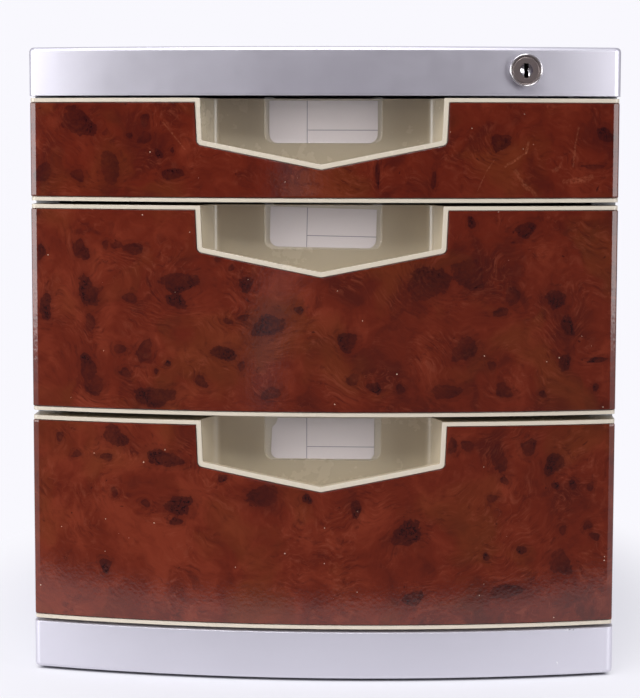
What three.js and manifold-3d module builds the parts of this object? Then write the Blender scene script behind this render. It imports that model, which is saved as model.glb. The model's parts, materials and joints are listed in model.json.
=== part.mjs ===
// A desk-top filing cabinet with three drawers, a bowed front, finger pockets and one lock for all drawers.
// Millimetres, +Z up, the front faces -Y, and the origin lies on the desk under the middle of the cabinet.
import * as THREE from "three";
import { mergeVertices } from "three/addons/utils/BufferGeometryUtils.js";
import Module from "manifold-3d";

// The whole cabinet
const WIDTH = 300;
const DEPTH = 400;
const BOW_RISE = 20.8;
const FOOT_PROUD = 1.5;
const CORNER_RADIUS = 4.5;

// Heights and gaps of the front, from the desk up
const BASE_HEIGHT = 24;
const BASE_GAP = 1.8;
const DEEP_FRONT_HEIGHT = 106;
const DEEP_GAP = 2.8;
const UPPER_GAP = 1.8;
const SHALLOW_FRONT_HEIGHT = 52;
const COVER_GAP = 1.2;
const COVER_HEIGHT = 24.4;

// Fits between pieces
const SEAT_GAP = 0.1;
const RUN_GAP = 0.3;
const CLOSING_GAP = 0.3;
const OVERRUN = 5;
const WELD = 1e-4;
const GRID = 1024; // corners lie on a grid of this many steps to the millimetre, so that flush faces meet

// Top cover
const COVER_WALL = 2.5;
const COVER_PLATE = 3;
const COVER_EDGE_RADIUS = 2.2;
const COVER_DISH_DEPTH = 0.8;
const COVER_DISH_BORDER = 9;
const RIB_THICKNESS = 1.6;
const COVER_RIB_DEPTH = 6;
const BASE_RIB_DEPTH = 8;
const CROSS_RIB_SHARES = [0.25, 0.5, 0.75];
const LENGTH_RIB_SHARE = 0.4;
const LENGTH_RIB_DEPTH_SHARE = 0.8;

// Base
const BASE_WALL = 3;
const BASE_DECK = 2.5;
const BASE_EDGE_RADIUS = 1.8;

// Feet
const FOOT_RADIUS = 8;
const FOOT_SIDE_INSET = 25;
const FOOT_END_INSET = 50;
const FOOT_PAD_THICKNESS = 3.4;
const FOOT_STEM_RADIUS = 2.5;
const FOOT_STEM_LENGTH = 7.5;
const FOOT_POST_RADIUS = 9;

// Side panels
const SIDE_INSET = 0.4;
const SIDE_BREADTH = 12.3;
const SIDE_SKIN = 2.2;
const SIDE_FLANGE = 2.2;
const SIDE_FIELD_DEPTH = 0.7;
const SIDE_FIELD_BORDER = 26;
const SIDE_FIELD_RADIUS = 9;
const SIDE_RIB_DEPTH = 2.4;
const RAIL_THICKNESS = 2.4;
const RAIL_SIDE_CLEARANCE = 2;
const RAIL_SETBACK = 8;
const POST_CLEARANCE = 1;
const EAR_REACH = 13.5;
const EAR_LENGTH = 14;
const EAR_THICKNESS = 3;
const EAR_FRONT_SETBACK = 42;
const EAR_REAR_SETBACK = 34;

// Back panel
const BACK_PANEL = 2.2;
const BACK_RECESS = 1.9;
const BACK_SIDE_GAP = 0.4;
const BACK_BEAD_HEIGHT = 7;
const BACK_BEAD_PROUD = 1.1;
const BACK_BEAD_COUNT = 5;
const BACK_BEAD_END_INSET = 34;
const BACK_BEAD_ROUND_SHARE = 0.49;

// Screws
const SCREW_RADIUS = 1.3;
const SCREW_LENGTH = 11;
const SCREW_HEAD_RADIUS = 3;
const SCREW_HEAD_HEIGHT = 1.8;
const SCREW_CROWN_SHARE = 0.6;
const SCREW_RECESS_SHARE = 0.35;
const SCREW_SIDES = 8;
const SCREW_HOLE_RADIUS = 1.9;
const PILOT_RADIUS = 1.5;
const PILOT_EXTRA = 1.5;
const BOSS_RADIUS = 3.6;

// Drawer fronts
const FRONT_SIDE_INSET = 0.6;
const FRONT_EDGE_DEPTH = 17;
const FRONT_CORNER_RADIUS = 3;
const FRONT_WALL = 2.2;
const FRONT_RIM = 2;
const FRONT_PLATE = 2.4;
const POCKET_RIB_SHARES = [-1, -0.5, 0, 0.5, 1];
const SIDE_RIB_SHARES = [0.34, 0.67];
const SCREW_HEIGHT_SHARES = [0.3, 0.7];
const FACING_THICKNESS = 3;
const FACING_PROUD = 0.5;
const FACING_CORNER_RADIUS = 2.8;
const FACING_SIDE_OVERLAP = 0.1;
const FACING_GAP = 0.3;

// Finger pocket in a drawer front, measured down from the front's top edge
const NOTCH_TOP_HALF_WIDTH = 63.5;
const NOTCH_HALF_WIDTH = 62.5;
const NOTCH_SIDE_DEPTH = 23.2;
const NOTCH_DEPTH = 35.6;
const NOTCH_CORNER_RADIUS = 2.4;
const LIP_WIDTH = 2.4;
const LIP_CORNER_RADIUS = 1;
const POCKET_DEPTH = 25;
const POCKET_UNDERCUT = 6;
const POCKET_SIDE_DRAFT = 5.4;
const POCKET_FILLET = 5;
const POCKET_WALL = 2;
const POCKET_BACK_WALL = 3.2;

// Label in the pocket
const LABEL_RECESS_HALF_WIDTH = 30;
const LABEL_RECESS_HEIGHT = 22.8;
const LABEL_RECESS_DEPTH = 1.6;
const LABEL_CORNER_RADIUS = 4.5;
const LABEL_WINDOW_THICKNESS = 0.8;
const LABEL_EDGE_GAP = 0.3;
const LABEL_EAR_RISE = 0.7;
const LABEL_EAR_WIDTH = 4;
const LABEL_CARD_THICKNESS = 0.4;
const LABEL_CARD_MARGIN = 2.3;
const LABEL_CARD_TOP_MARGIN = 0.9;

// Drawer trays
const TRAY_SIDE_CLEARANCE = 1.3;
const TRAY_WALL = 2.2;
const TRAY_LIFT = 3;
const TRAY_DROP = 10;
const TRAY_REAR_CLEARANCE = 13.6;
const TRAY_CORNER_RADIUS = 4;
const TRAY_RIB_HEIGHT = 1;
const TRAY_RIB_WIDTH = 3;
const TRAY_RIB_SHARE = 0.5;
const RUNNER_HELD = 61.5; // length of a runner that stays in its rails when its drawer is open
const RUNNER_THICKNESS = 3.2;
const RUNNER_HEADROOM = 4.4;
const STOP_TAB_HEIGHT = 3.4;
const STOP_TAB_LENGTH = 5;
const RUNNER_REAR_SETBACK = 10.7;
const STOP_TAB_WIDTH = 5;
const STOP_BLOCK_LENGTH = 6;
const STOP_CLEARANCE = 0.8;

// Lock
const LOCK_SIDE_INSET = 48.4;
const LOCK_HEIGHT = 12.7;
const LOCK_FLANGE_RADIUS = 8.2;
const LOCK_FLANGE_THICKNESS = 2.2;
const LOCK_RIM_WIDTH = 0.7;
const LOCK_RIM_STEP = 0.6;
const LOCK_SEAT_PROUD = 0.3;
const LOCK_SEAT_RADIUS = 7.8;
const LOCK_SEAT_WALL = 6.8;
const LOCK_BOSS_RADIUS = 9.6;
const LOCK_BARREL_RADIUS = 6.2;
const LOCK_HOLE_CLEARANCE = 0.2;
const LOCK_NUT_ACROSS_FLATS = 15.6;
const LOCK_NUT_THICKNESS = 3.5;
const PLUG_HEAD_RADIUS = 6.4;
const PLUG_HEAD_THICKNESS = 1.4;
const PLUG_HEAD_RECESS = 0.5;
const PLUG_RADIUS = 4.8;
const PLUG_CLEARANCE = 0.25;
const PLUG_TAIL = 5;
const KEYWAY_WIDTH = 2.4;
const KEYWAY_HEIGHT = 7.4;
const KEYWAY_DEPTH = 14;
const KEYWAY_DROP_SHARE = 0.03;
const KEY_CONE_RADIUS = 3.2;
const KEY_CONE_DEPTH = 0.9;

// Crank behind the lock, and the bar that it lifts and drops
const CRANK_RADIUS = 5;
const CRANK_START_DEG = 45;
const CAM_THICKNESS = 1.8;
const CAM_HUB_RADIUS = 6;
const CAM_GAP = 0.4;
const CAM_TO_BAR = 4.9;
const CRANK_PIN_RADIUS = 1.5;
const CRANK_PIN_OVERLAP = 1.2;
const CAM_LOBE_RADIUS = 3;
const CAM_SCREW_HEAD_RADIUS = 3;
const CAM_SCREW_HEAD_HEIGHT = 1.8;
const CAM_SCREW_RADIUS = 1.3;
const CAM_SCREW_LENGTH = 6;
const BAR_THICKNESS = 1.4;
const BAR_WIDTH = 9;
const BAR_PLAY = 0.5;
const BAR_SKIN_GAP = 1;
const BAR_RUNNER_GAP = 0.7;
const BAR_LOWER_REACH = 22;
const BAR_ARM_MARGIN = 2;
const BAR_SLOT_CLEARANCE = 0.35;
const BAR_SLOT_END = 0.5;
const BLADE_REACH = 6;
const BLADE_HEIGHT = 4;
const BLADE_THICKNESS = 1.6;
const BLADE_CLEARANCE = 0.7;
const CATCH_LENGTH = 4;
const CATCH_WIDTH = 6;
const LOCK_SLACK = 1.7;
const GUIDE_THICKNESS = 1.5;
const GUIDE_HEIGHT = 8;
const GUIDE_DROP = 16;
const GUIDE_FENCE = 2;

// How finely round stretches are cut
const BOW_STEPS = 14;
const FILLET_STEPS = 3;
const ROUND_SIDES = 20;
const SMALL_ROUND_SIDES = 10;
const EDGE_STEPS = 3;

// Places that follow from the sizes
const HALF = WIDTH / 2;
const FRONT_Y = -DEPTH / 2;
const REAR_Y = DEPTH / 2;
const BOW_RADIUS = (HALF ** 2 + BOW_RISE ** 2) / (2 * BOW_RISE);
const BOW_CENTRE_Y = FRONT_Y + BOW_RADIUS;
const BASE_TOP = FOOT_PROUD + BASE_HEIGHT;
const BOTTOM_FRONT_Z = BASE_TOP + BASE_GAP;
const MIDDLE_FRONT_Z = BOTTOM_FRONT_Z + DEEP_FRONT_HEIGHT + DEEP_GAP;
const TOP_FRONT_Z = MIDDLE_FRONT_Z + DEEP_FRONT_HEIGHT + UPPER_GAP;
const COVER_Z = TOP_FRONT_Z + SHALLOW_FRONT_HEIGHT + COVER_GAP;
const COVER_TOP_Z = COVER_Z + COVER_HEIGHT;
const COVER_CEILING_Z = COVER_TOP_Z - COVER_PLATE;

const FRONT_BACK_Y = FRONT_Y + BOW_RISE + FRONT_EDGE_DEPTH;
const FRONT_HALF = HALF - FRONT_SIDE_INSET;
const SIDE_FRONT_Y = FRONT_BACK_Y + CLOSING_GAP;
const SIDE_OUTER_X = HALF - SIDE_INSET;
const SIDE_INNER_X = SIDE_OUTER_X - SIDE_BREADTH;
const SKIN_INNER_X = SIDE_OUTER_X - SIDE_SKIN;
const SIDE_MID_X = (SIDE_INNER_X + SKIN_INNER_X) / 2;
const SIDE_Z0 = BASE_TOP + SEAT_GAP;
const SIDE_Z1 = COVER_Z - SEAT_GAP;
const BACK_PANEL_REAR_Y = REAR_Y - BACK_RECESS;
const BACK_PANEL_FRONT_Y = BACK_PANEL_REAR_Y - BACK_PANEL;
const REAR_FLANGE_Y1 = BACK_PANEL_FRONT_Y - SEAT_GAP;
const REAR_FLANGE_Y0 = REAR_FLANGE_Y1 - SIDE_FLANGE;

const TRAY_HALF = SIDE_INNER_X - TRAY_SIDE_CLEARANCE;
const TRAY_FRONT_Y = FRONT_BACK_Y + SEAT_GAP;
const TRAY_REAR_Y = REAR_FLANGE_Y0 - TRAY_REAR_CLEARANCE;
const BAR_OUTER_X = SKIN_INNER_X - BAR_SKIN_GAP;
const BAR_INNER_X = BAR_OUTER_X - BAR_THICKNESS;
const BAR_FRONT_Y = SIDE_FRONT_Y + SIDE_FLANGE + BAR_PLAY;
const BAR_REAR_Y = BAR_FRONT_Y + BAR_WIDTH;
const RUNNER_OUTER_X = BAR_INNER_X - BAR_RUNNER_GAP;
const RUNNER_FRONT_Y = BAR_REAR_Y + LOCK_SLACK;
const RAIL_INNER_X = TRAY_HALF + RAIL_SIDE_CLEARANCE;
const RAIL_FRONT_Y = BAR_REAR_Y + RAIL_SETBACK;
const RUNNER_REAR_Y = TRAY_REAR_Y - RUNNER_REAR_SETBACK;
const DRAWER_TRAVEL = RUNNER_REAR_Y - RAIL_FRONT_Y - RUNNER_HELD;
const STOP_BLOCK_REAR_Y = RAIL_FRONT_Y + STOP_BLOCK_LENGTH;
const STOP_TAB_Y = STOP_BLOCK_REAR_Y + DRAWER_TRAVEL + CLOSING_GAP;

const LOCK_X = HALF - LOCK_SIDE_INSET;
const LOCK_Z = COVER_Z + LOCK_HEIGHT;
const LOCK_SEAT_Y = bowY(LOCK_X - LOCK_FLANGE_RADIUS, 0) - LOCK_SEAT_PROUD;
const CAM_REAR_Y = BAR_FRONT_Y - CAM_TO_BAR;
const CAM_FRONT_Y = CAM_REAR_Y - CAM_THICKNESS;
const BARREL_REAR_Y = CAM_FRONT_Y - CAM_GAP;
const CRANK_START = THREE.MathUtils.degToRad(CRANK_START_DEG);
const SLOT_Z = LOCK_Z + CRANK_RADIUS * Math.sin(CRANK_START);
const BAR_TRAVEL = 2 * CRANK_RADIUS * Math.sin(CRANK_START);
const CATCH_HEIGHT = BAR_TRAVEL;

// The three drawers: their names, the heights of their fronts and where these stand
const DRAWERS = [
  { name: "top_drawer", z: TOP_FRONT_Z, height: SHALLOW_FRONT_HEIGHT },
  { name: "middle_drawer", z: MIDDLE_FRONT_Z, height: DEEP_FRONT_HEIGHT },
  { name: "bottom_drawer", z: BOTTOM_FRONT_Z, height: DEEP_FRONT_HEIGHT },
];
const runnerTopZ = (drawer) => drawer.z + drawer.height - TRAY_DROP;

// Materials
const silver = new THREE.MeshStandardMaterial({ color: 0xb4b4bd, roughness: 0.35, metalness: 0.7 });
const greyPlastic = new THREE.MeshStandardMaterial({ color: 0xa9aab0, roughness: 0.55, metalness: 0 });
const creamPlastic = new THREE.MeshStandardMaterial({ color: 0xd8d2bf, roughness: 0.4, metalness: 0 });
const burl = new THREE.MeshStandardMaterial({ color: 0x6b2618, roughness: 0.12, metalness: 0 });
const clearPlastic = new THREE.MeshStandardMaterial({
  color: 0xf0f2f4,
  roughness: 0.1,
  metalness: 0,
  transparent: true,
  opacity: 0.3,
});
const card = new THREE.MeshStandardMaterial({ color: 0xe6e2e6, roughness: 0.8, metalness: 0 });
const chrome = new THREE.MeshStandardMaterial({ color: 0xc9c9cc, roughness: 0.12, metalness: 1 });
const zincSteel = new THREE.MeshStandardMaterial({ color: 0x9fa3a6, roughness: 0.35, metalness: 0.9 });
const rubber = new THREE.MeshStandardMaterial({ color: 0x232325, roughness: 0.9, metalness: 0 });

const wasm = await Module();
wasm.setup();

// A closed geometry as a solid that can be joined and cut
function solid(geometry) {
  const bare = geometry.index ? geometry.toNonIndexed() : geometry.clone();
  bare.deleteAttribute("normal");
  bare.deleteAttribute("uv");
  const places = bare.attributes.position.array;
  places.forEach((value, i) => (places[i] = Math.round(value * GRID) / GRID));
  const merged = mergeVertices(bare, WELD);
  return new wasm.Manifold(
    new wasm.Mesh({
      numProp: 3,
      vertProperties: merged.attributes.position.array,
      triVerts: new Uint32Array(merged.index.array),
    }),
  );
}

// A solid as a named mesh
function piece(name, body, material) {
  const made = body.getMesh();
  const geometry = new THREE.BufferGeometry()
    .setAttribute("position", new THREE.BufferAttribute(made.vertProperties, 3))
    .setIndex(new THREE.BufferAttribute(made.triVerts, 1));
  geometry.computeVertexNormals();
  const mesh = new THREE.Mesh(geometry, material);
  mesh.name = name;
  return mesh;
}

const joined = (solids) => solids.reduce((sum, next) => sum.add(next));
const point = (x, y) => new THREE.Vector2(x, y);

// A block between two corners, given in any order
function block(x0, x1, y0, y1, z0, z1) {
  return solid(
    new THREE.BoxGeometry(Math.abs(x1 - x0), Math.abs(y1 - y0), Math.abs(z1 - z0)).translate(
      (x0 + x1) / 2,
      (y0 + y1) / 2,
      (z0 + z1) / 2,
    ),
  );
}

const extruded = (outline, depth) =>
  new THREE.ExtrudeGeometry(new THREE.Shape(outline), { depth, bevelEnabled: false });

// A plan outline raised from z0 to z1
const raised = (outline, z0, z1) => solid(extruded(outline, z1 - z0).translate(0, 0, z0));

// A front-view outline, in x and z, run from y0 back to y1
const runBack = (outline, y0, y1) =>
  solid(extruded(outline, y1 - y0).rotateX(Math.PI / 2).translate(0, y1, 0));

const rodY = (x, z, radius, y0, y1, sides = SMALL_ROUND_SIDES) =>
  solid(new THREE.CylinderGeometry(radius, radius, y1 - y0, sides).translate(x, (y0 + y1) / 2, z));

const rodZ = (x, y, radius, z0, z1, sides = SMALL_ROUND_SIDES) =>
  solid(
    new THREE.CylinderGeometry(radius, radius, z1 - z0, sides)
      .rotateX(Math.PI / 2)
      .translate(x, y, (z0 + z1) / 2),
  );

// Points on an arc, both ends included
function arc(x, y, radius, from, to, steps = FILLET_STEPS) {
  return Array.from({ length: steps + 1 }, (_, i) => {
    const angle = from + ((to - from) * i) / steps;
    return point(x + radius * Math.cos(angle), y + radius * Math.sin(angle));
  });
}

// An outline through corners, each rounded by its own radius
function filleted(corners) {
  const count = corners.length;
  return corners.flatMap(({ at, radius }, i) => {
    if (!radius) return [at];
    const before = corners[(i + count - 1) % count].at.clone().sub(at).normalize();
    const after = corners[(i + 1) % count].at.clone().sub(at).normalize();
    const halfAngle = Math.acos(before.dot(after)) / 2;
    const toCentre = radius / Math.sin(halfAngle);
    const centre = before.clone().add(after).normalize().multiplyScalar(toCentre).add(at);
    const tangent = radius / Math.tan(halfAngle);
    const from = before.multiplyScalar(tangent).add(at).sub(centre).angle();
    const to = after.multiplyScalar(tangent).add(at).sub(centre).angle();
    let turn = to - from;
    if (turn > Math.PI) turn -= 2 * Math.PI;
    if (turn < -Math.PI) turn += 2 * Math.PI;
    return arc(centre.x, centre.y, radius, from, from + turn);
  });
}

function roundedRectangle(x0, x1, y0, y1, radius) {
  const corners = [point(x0, y0), point(x1, y0), point(x1, y1), point(x0, y1)];
  return filleted(corners.map((at) => ({ at, radius })));
}

// The y of the bowed front at x, on a surface set back by inset
function bowY(x, inset) {
  return BOW_CENTRE_Y - Math.sqrt((BOW_RADIUS - inset) ** 2 - x ** 2);
}

// Points along the bowed front from x0 to x1, at an inset
function bowArc(x0, x1, inset) {
  const radius = BOW_RADIUS - inset;
  const turn = (x) => Math.asin(x / radius) - Math.PI / 2;
  return arc(0, BOW_CENTRE_Y, radius, turn(x0), turn(x1), BOW_STEPS);
}

// A plan outline: rounded front corners and the bow between them, closed by the points of its back
function bowOutline(inset, half, corner, back) {
  const radius = BOW_RADIUS - inset;
  const cornerX = half - corner;
  const cornerY = BOW_CENTRE_Y - Math.sqrt((radius - corner) ** 2 - cornerX ** 2);
  const lean = Math.asin(cornerX / (radius - corner));
  const rightEnd = lean - Math.PI / 2;
  const left = arc(-cornerX, cornerY, corner, -Math.PI, -Math.PI / 2 - lean);
  const bow = arc(0, BOW_CENTRE_Y, radius, -Math.PI / 2 - lean, rightEnd, BOW_STEPS).slice(1, -1);
  const right = arc(cornerX, cornerY, corner, rightEnd, 0);
  return [...left, ...bow, ...right, ...back];
}

const straightBack = (half, y) => [point(half, y), point(-half, y)];

// The plan outline that the cover and the base share, drawn in by inset
function caseOutline(inset) {
  const half = HALF - inset;
  const rear = REAR_Y - inset;
  const corner = Math.max(CORNER_RADIUS - inset, CORNER_RADIUS / FILLET_STEPS);
  const back = [
    ...arc(half - corner, rear - corner, corner, 0, Math.PI / 2),
    ...arc(corner - half, rear - corner, corner, Math.PI / 2, Math.PI),
  ];
  return bowOutline(inset, half, corner, back);
}

// A closed skin through rings of equally many points, from the lowest to the highest
function loft(rings) {
  const count = rings[0].outline.length;
  const positions = rings.flatMap(({ outline, z }) => outline.flatMap((p) => [p.x, p.y, z]));
  const index = [];
  rings.slice(1).forEach((_, level) => {
    for (let i = 0; i < count; i++) {
      const a = level * count + i;
      const b = level * count + ((i + 1) % count);
      index.push(a, b, b + count, a, b + count, a + count);
    }
  });
  const top = (rings.length - 1) * count;
  THREE.ShapeUtils.triangulateShape(rings[0].outline, []).forEach(([a, b, c]) => index.push(c, b, a));
  THREE.ShapeUtils.triangulateShape(rings.at(-1).outline, []).forEach(([a, b, c]) =>
    index.push(top + a, top + b, top + c),
  );
  const geometry = new THREE.BufferGeometry();
  geometry.setAttribute("position", new THREE.Float32BufferAttribute(positions, 3));
  geometry.setIndex(index);
  return solid(geometry);
}

// Rings that round off an edge: from the upright wall to the flat face, as [inset, height] pairs
function edgeRound(radius) {
  return arc(0, 0, radius, 0, Math.PI / 2, EDGE_STEPS).map((p) => [radius - p.x, p.y]);
}

// A round body turned about the y axis through x and z
const turned = (profile, x, z, sides = ROUND_SIDES) =>
  solid(new THREE.LatheGeometry(profile.map(([r, y]) => point(r, y)), sides).translate(x, 0, z));

// A pan-head screw with a cross recess, its seat at the origin and its shank along -Y
function screwGeometry() {
  const head = SCREW_HEAD_HEIGHT;
  const profile = [
    [0, -SCREW_LENGTH],
    [SCREW_RADIUS, SCREW_RADIUS - SCREW_LENGTH],
    [SCREW_RADIUS, 0],
    [SCREW_HEAD_RADIUS, 0],
    [SCREW_HEAD_RADIUS, head / 2],
    [SCREW_HEAD_RADIUS * SCREW_CROWN_SHARE, head],
    [0, head],
  ];
  const half = SCREW_RADIUS * SCREW_RECESS_SHARE;
  const centre = point(0, 0);
  const cross = [0, 1, 2, 3].flatMap((turn) =>
    [point(SCREW_RADIUS, -half), point(SCREW_RADIUS, half), point(half, half)].map((corner) =>
      corner.rotateAround(centre, (turn * Math.PI) / 2),
    ),
  );
  return turned(profile, 0, 0, SCREW_SIDES).subtract(runBack(cross, head / 2, head + OVERRUN));
}

const screwBody = screwGeometry();

// One screw: its shank points along the given direction from its seat
function screw(name, x, y, z, direction) {
  const mesh = piece(name, screwBody, zincSteel);
  mesh.quaternion.setFromUnitVectors(new THREE.Vector3(0, -1, 0), direction);
  mesh.position.set(x, y, z);
  return mesh;
}
const UP = new THREE.Vector3(0, 0, 1);
const FORWARD = new THREE.Vector3(0, -1, 0);

// Where the screws go through the side panels
const EAR_X = SIDE_INNER_X - EAR_REACH / 2;
const EAR_YS = [SIDE_FRONT_Y + EAR_FRONT_SETBACK, REAR_FLANGE_Y0 - EAR_REAR_SETBACK];
const BACK_SCREW_ZS = [SIDE_Z0 + EAR_REAR_SETBACK, SIDE_Z1 - EAR_REAR_SETBACK];
const FOOT_YS = [FRONT_Y + FOOT_END_INSET, REAR_Y - FOOT_SIDE_INSET];
const FOOT_X = HALF - FOOT_SIDE_INSET;

const bothSides = (make) => [-1, 1].map(make);

// Crosswise and lengthwise ribs between two walls, from the plate's inside at rootZ to the ribs' edge
function ribs(wall, y0, y1, rootZ, depth) {
  const half = RIB_THICKNESS / 2;
  const rear = REAR_Y - wall / 2;
  const reach = HALF - wall / 2;
  const top = rootZ + OVERRUN;
  const crosswise = CROSS_RIB_SHARES.map((share) => {
    const y = THREE.MathUtils.lerp(y0, y1, share);
    return block(-reach, reach, y - half, y + half, rootZ - depth, top);
  });
  const lengthwise = bothSides((side) => {
    const x = side * HALF * LENGTH_RIB_SHARE;
    return block(x - half, x + half, y0, rear, rootZ - depth * LENGTH_RIB_DEPTH_SHARE, top);
  });
  return joined([...crosswise, ...lengthwise]);
}

// The silver top cover: a shallow shell, open below, with a dished top and a seat for the lock
function topCover() {
  const rings = [
    { outline: caseOutline(0), z: COVER_Z },
    ...edgeRound(COVER_EDGE_RADIUS).map(([inset, rise]) => ({
      outline: caseOutline(inset),
      z: COVER_TOP_Z - COVER_EDGE_RADIUS + rise,
    })),
  ];
  const places = bothSides((side) => EAR_YS.map((y) => [side * EAR_X, y])).flat();
  const bosses = joined(places.map(([x, y]) => rodZ(x, y, BOSS_RADIUS, COVER_Z, COVER_TOP_Z)));
  const pilotTop = COVER_Z + SCREW_LENGTH + PILOT_EXTRA;
  const pilots = joined(places.map(([x, y]) => rodZ(x, y, PILOT_RADIUS, COVER_Z - OVERRUN, pilotTop)));
  const hollow = raised(caseOutline(COVER_WALL), COVER_Z - OVERRUN, COVER_CEILING_Z)
    .subtract(ribs(COVER_WALL, RAIL_FRONT_Y, REAR_Y, COVER_CEILING_Z, COVER_RIB_DEPTH))
    .subtract(bosses);
  const dishFloor = COVER_TOP_Z - COVER_DISH_DEPTH;
  const dish = raised(caseOutline(COVER_DISH_BORDER), dishFloor, COVER_TOP_Z + OVERRUN);
  const shell = loft(rings).subtract(hollow).subtract(dish).subtract(pilots);

  // A flat round seat for the lock, through the bowed fascia
  const seatRear = LOCK_SEAT_Y + LOCK_SEAT_WALL;
  const lockRod = (radius, overrun) =>
    rodY(LOCK_X, LOCK_Z, radius, LOCK_SEAT_Y - overrun, seatRear + overrun, ROUND_SIDES);
  const inside = raised(caseOutline(COVER_WALL / 2), COVER_Z, COVER_TOP_Z);
  const body = shell
    .add(lockRod(LOCK_BOSS_RADIUS, 0).intersect(inside))
    .add(lockRod(LOCK_SEAT_RADIUS, 0))
    .subtract(lockRod(LOCK_BARREL_RADIUS + LOCK_HOLE_CLEARANCE, OVERRUN));
  return piece("top_cover", body, silver);
}

// The silver base: a deck with a skirt, foot posts and ribs below
function base() {
  const underDeck = BASE_TOP - BASE_DECK;
  const rings = [
    ...edgeRound(BASE_EDGE_RADIUS)
      .reverse()
      .map(([inset, rise]) => ({ outline: caseOutline(inset), z: FOOT_PROUD + BASE_EDGE_RADIUS - rise })),
    { outline: caseOutline(0), z: BASE_TOP },
  ];
  const footPlaces = bothSides((side) => FOOT_YS.map((y) => [side * FOOT_X, y])).flat();
  const screwPlaces = bothSides((side) => EAR_YS.map((y) => [side * SIDE_MID_X, y])).flat();
  const padTop = FOOT_PAD_THICKNESS + SEAT_GAP;
  const stemTop = FOOT_PAD_THICKNESS + FOOT_STEM_LENGTH + PILOT_EXTRA;
  const stemHole = FOOT_STEM_RADIUS + RUN_GAP;
  const posts = joined(footPlaces.map(([x, y]) => rodZ(x, y, FOOT_POST_RADIUS, padTop, BASE_TOP)));
  const stemHoles = joined(footPlaces.map(([x, y]) => rodZ(x, y, stemHole, padTop - OVERRUN, stemTop)));
  const screwHoles = joined(
    screwPlaces.map(([x, y]) => rodZ(x, y, SCREW_HOLE_RADIUS, underDeck - OVERRUN, BASE_TOP + OVERRUN)),
  );
  const hollow = raised(caseOutline(BASE_WALL), FOOT_PROUD - OVERRUN, underDeck)
    .subtract(ribs(BASE_WALL, SIDE_FRONT_Y, REAR_Y, underDeck, BASE_RIB_DEPTH))
    .subtract(posts);
  return piece("base", loft(rings).subtract(hollow).subtract(stemHoles).subtract(screwHoles), silver);
}

// A rubber foot: a pad with a stem that plugs into its post
function foot(name, x, y) {
  const pad = rodZ(x, y, FOOT_RADIUS, 0, FOOT_PAD_THICKNESS);
  const stem = rodZ(x, y, FOOT_STEM_RADIUS, FOOT_PAD_THICKNESS / 2, FOOT_PAD_THICKNESS + FOOT_STEM_LENGTH);
  return piece(name, pad.add(stem), rubber);
}

// The rail under a runner, the guide above it and the stop block at its front end, on one side
function drawerRails(drawer, x) {
  const top = runnerTopZ(drawer);
  const root = x(SIDE_OUTER_X - SIDE_SKIN / 2);
  const inner = x(RAIL_INNER_X);
  const rear = REAR_FLANGE_Y0 + SIDE_FLANGE / 2;
  const railTop = top - RUNNER_THICKNESS - RUN_GAP;
  const guide = top + RUNNER_HEADROOM;
  const stopTop = guide + RAIL_THICKNESS / 2;
  const stopFront = RAIL_FRONT_Y + SEAT_GAP;
  const stopInner = x(RAIL_INNER_X + SEAT_GAP);
  return [
    block(inner, root, RAIL_FRONT_Y, rear, railTop - RAIL_THICKNESS, railTop),
    block(inner, root, RAIL_FRONT_Y, rear, guide, guide + RAIL_THICKNESS),
    block(stopInner, root, stopFront, STOP_BLOCK_REAR_Y, top + STOP_CLEARANCE, stopTop),
  ];
}

// The opening in the front post through which a runner slides, on the right with its lock catch
function runnerGate(drawer, side) {
  const top = runnerTopZ(drawer);
  return block(
    side * (SIDE_INNER_X - OVERRUN),
    side * (RUNNER_OUTER_X + POST_CLEARANCE),
    SIDE_FRONT_Y - OVERRUN,
    SIDE_FRONT_Y + SIDE_FLANGE + SEAT_GAP,
    top - RUNNER_THICKNESS - POST_CLEARANCE,
    top + POST_CLEARANCE + (side > 0 ? CATCH_HEIGHT : 0),
  );
}

// A loop below each runner that keeps the lock bar upright against the skin
function barLoop(drawer) {
  const z = runnerTopZ(drawer) - GUIDE_DROP;
  const strap = BAR_INNER_X - RUN_GAP;
  const fence = BAR_REAR_Y + BAR_PLAY;
  const post = SIDE_FRONT_Y + SIDE_FLANGE;
  const outer = block(
    strap - GUIDE_THICKNESS,
    SKIN_INNER_X + SIDE_SKIN / 2,
    post - SIDE_FLANGE / 2,
    fence + GUIDE_FENCE,
    z,
    z + GUIDE_HEIGHT,
  );
  return outer.subtract(block(strap, SKIN_INNER_X, post, fence, z - OVERRUN, z + GUIDE_HEIGHT + OVERRUN));
}

// The way through the right panel's top flange for the lock bar and its top blade
const barGate = () =>
  block(
    BAR_INNER_X - BLADE_REACH - BAR_PLAY,
    SKIN_INNER_X,
    SIDE_FRONT_Y + SIDE_FLANGE,
    BAR_REAR_Y + BAR_PLAY + BAR_PLAY,
    SIDE_Z1 - SIDE_FLANGE - OVERRUN,
    SIDE_Z1 + OVERRUN,
  );

// The shallow sunk field on the outside of a side panel
function sideField(side) {
  const field = roundedRectangle(
    SIDE_FRONT_Y + SIDE_FIELD_BORDER,
    REAR_Y - SIDE_FIELD_BORDER,
    SIDE_Z0 + SIDE_FIELD_BORDER,
    SIDE_Z1 - SIDE_FIELD_BORDER,
    SIDE_FIELD_RADIUS,
  );
  const turn = new THREE.Matrix4().makeBasis(
    new THREE.Vector3(0, 1, 0),
    new THREE.Vector3(0, 0, 1),
    new THREE.Vector3(1, 0, 0),
  );
  const x = side > 0 ? SIDE_OUTER_X - SIDE_FIELD_DEPTH : -SIDE_OUTER_X - OVERRUN;
  return solid(extruded(field, OVERRUN + SIDE_FIELD_DEPTH).applyMatrix4(turn).translate(x, 0, 0));
}

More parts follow.
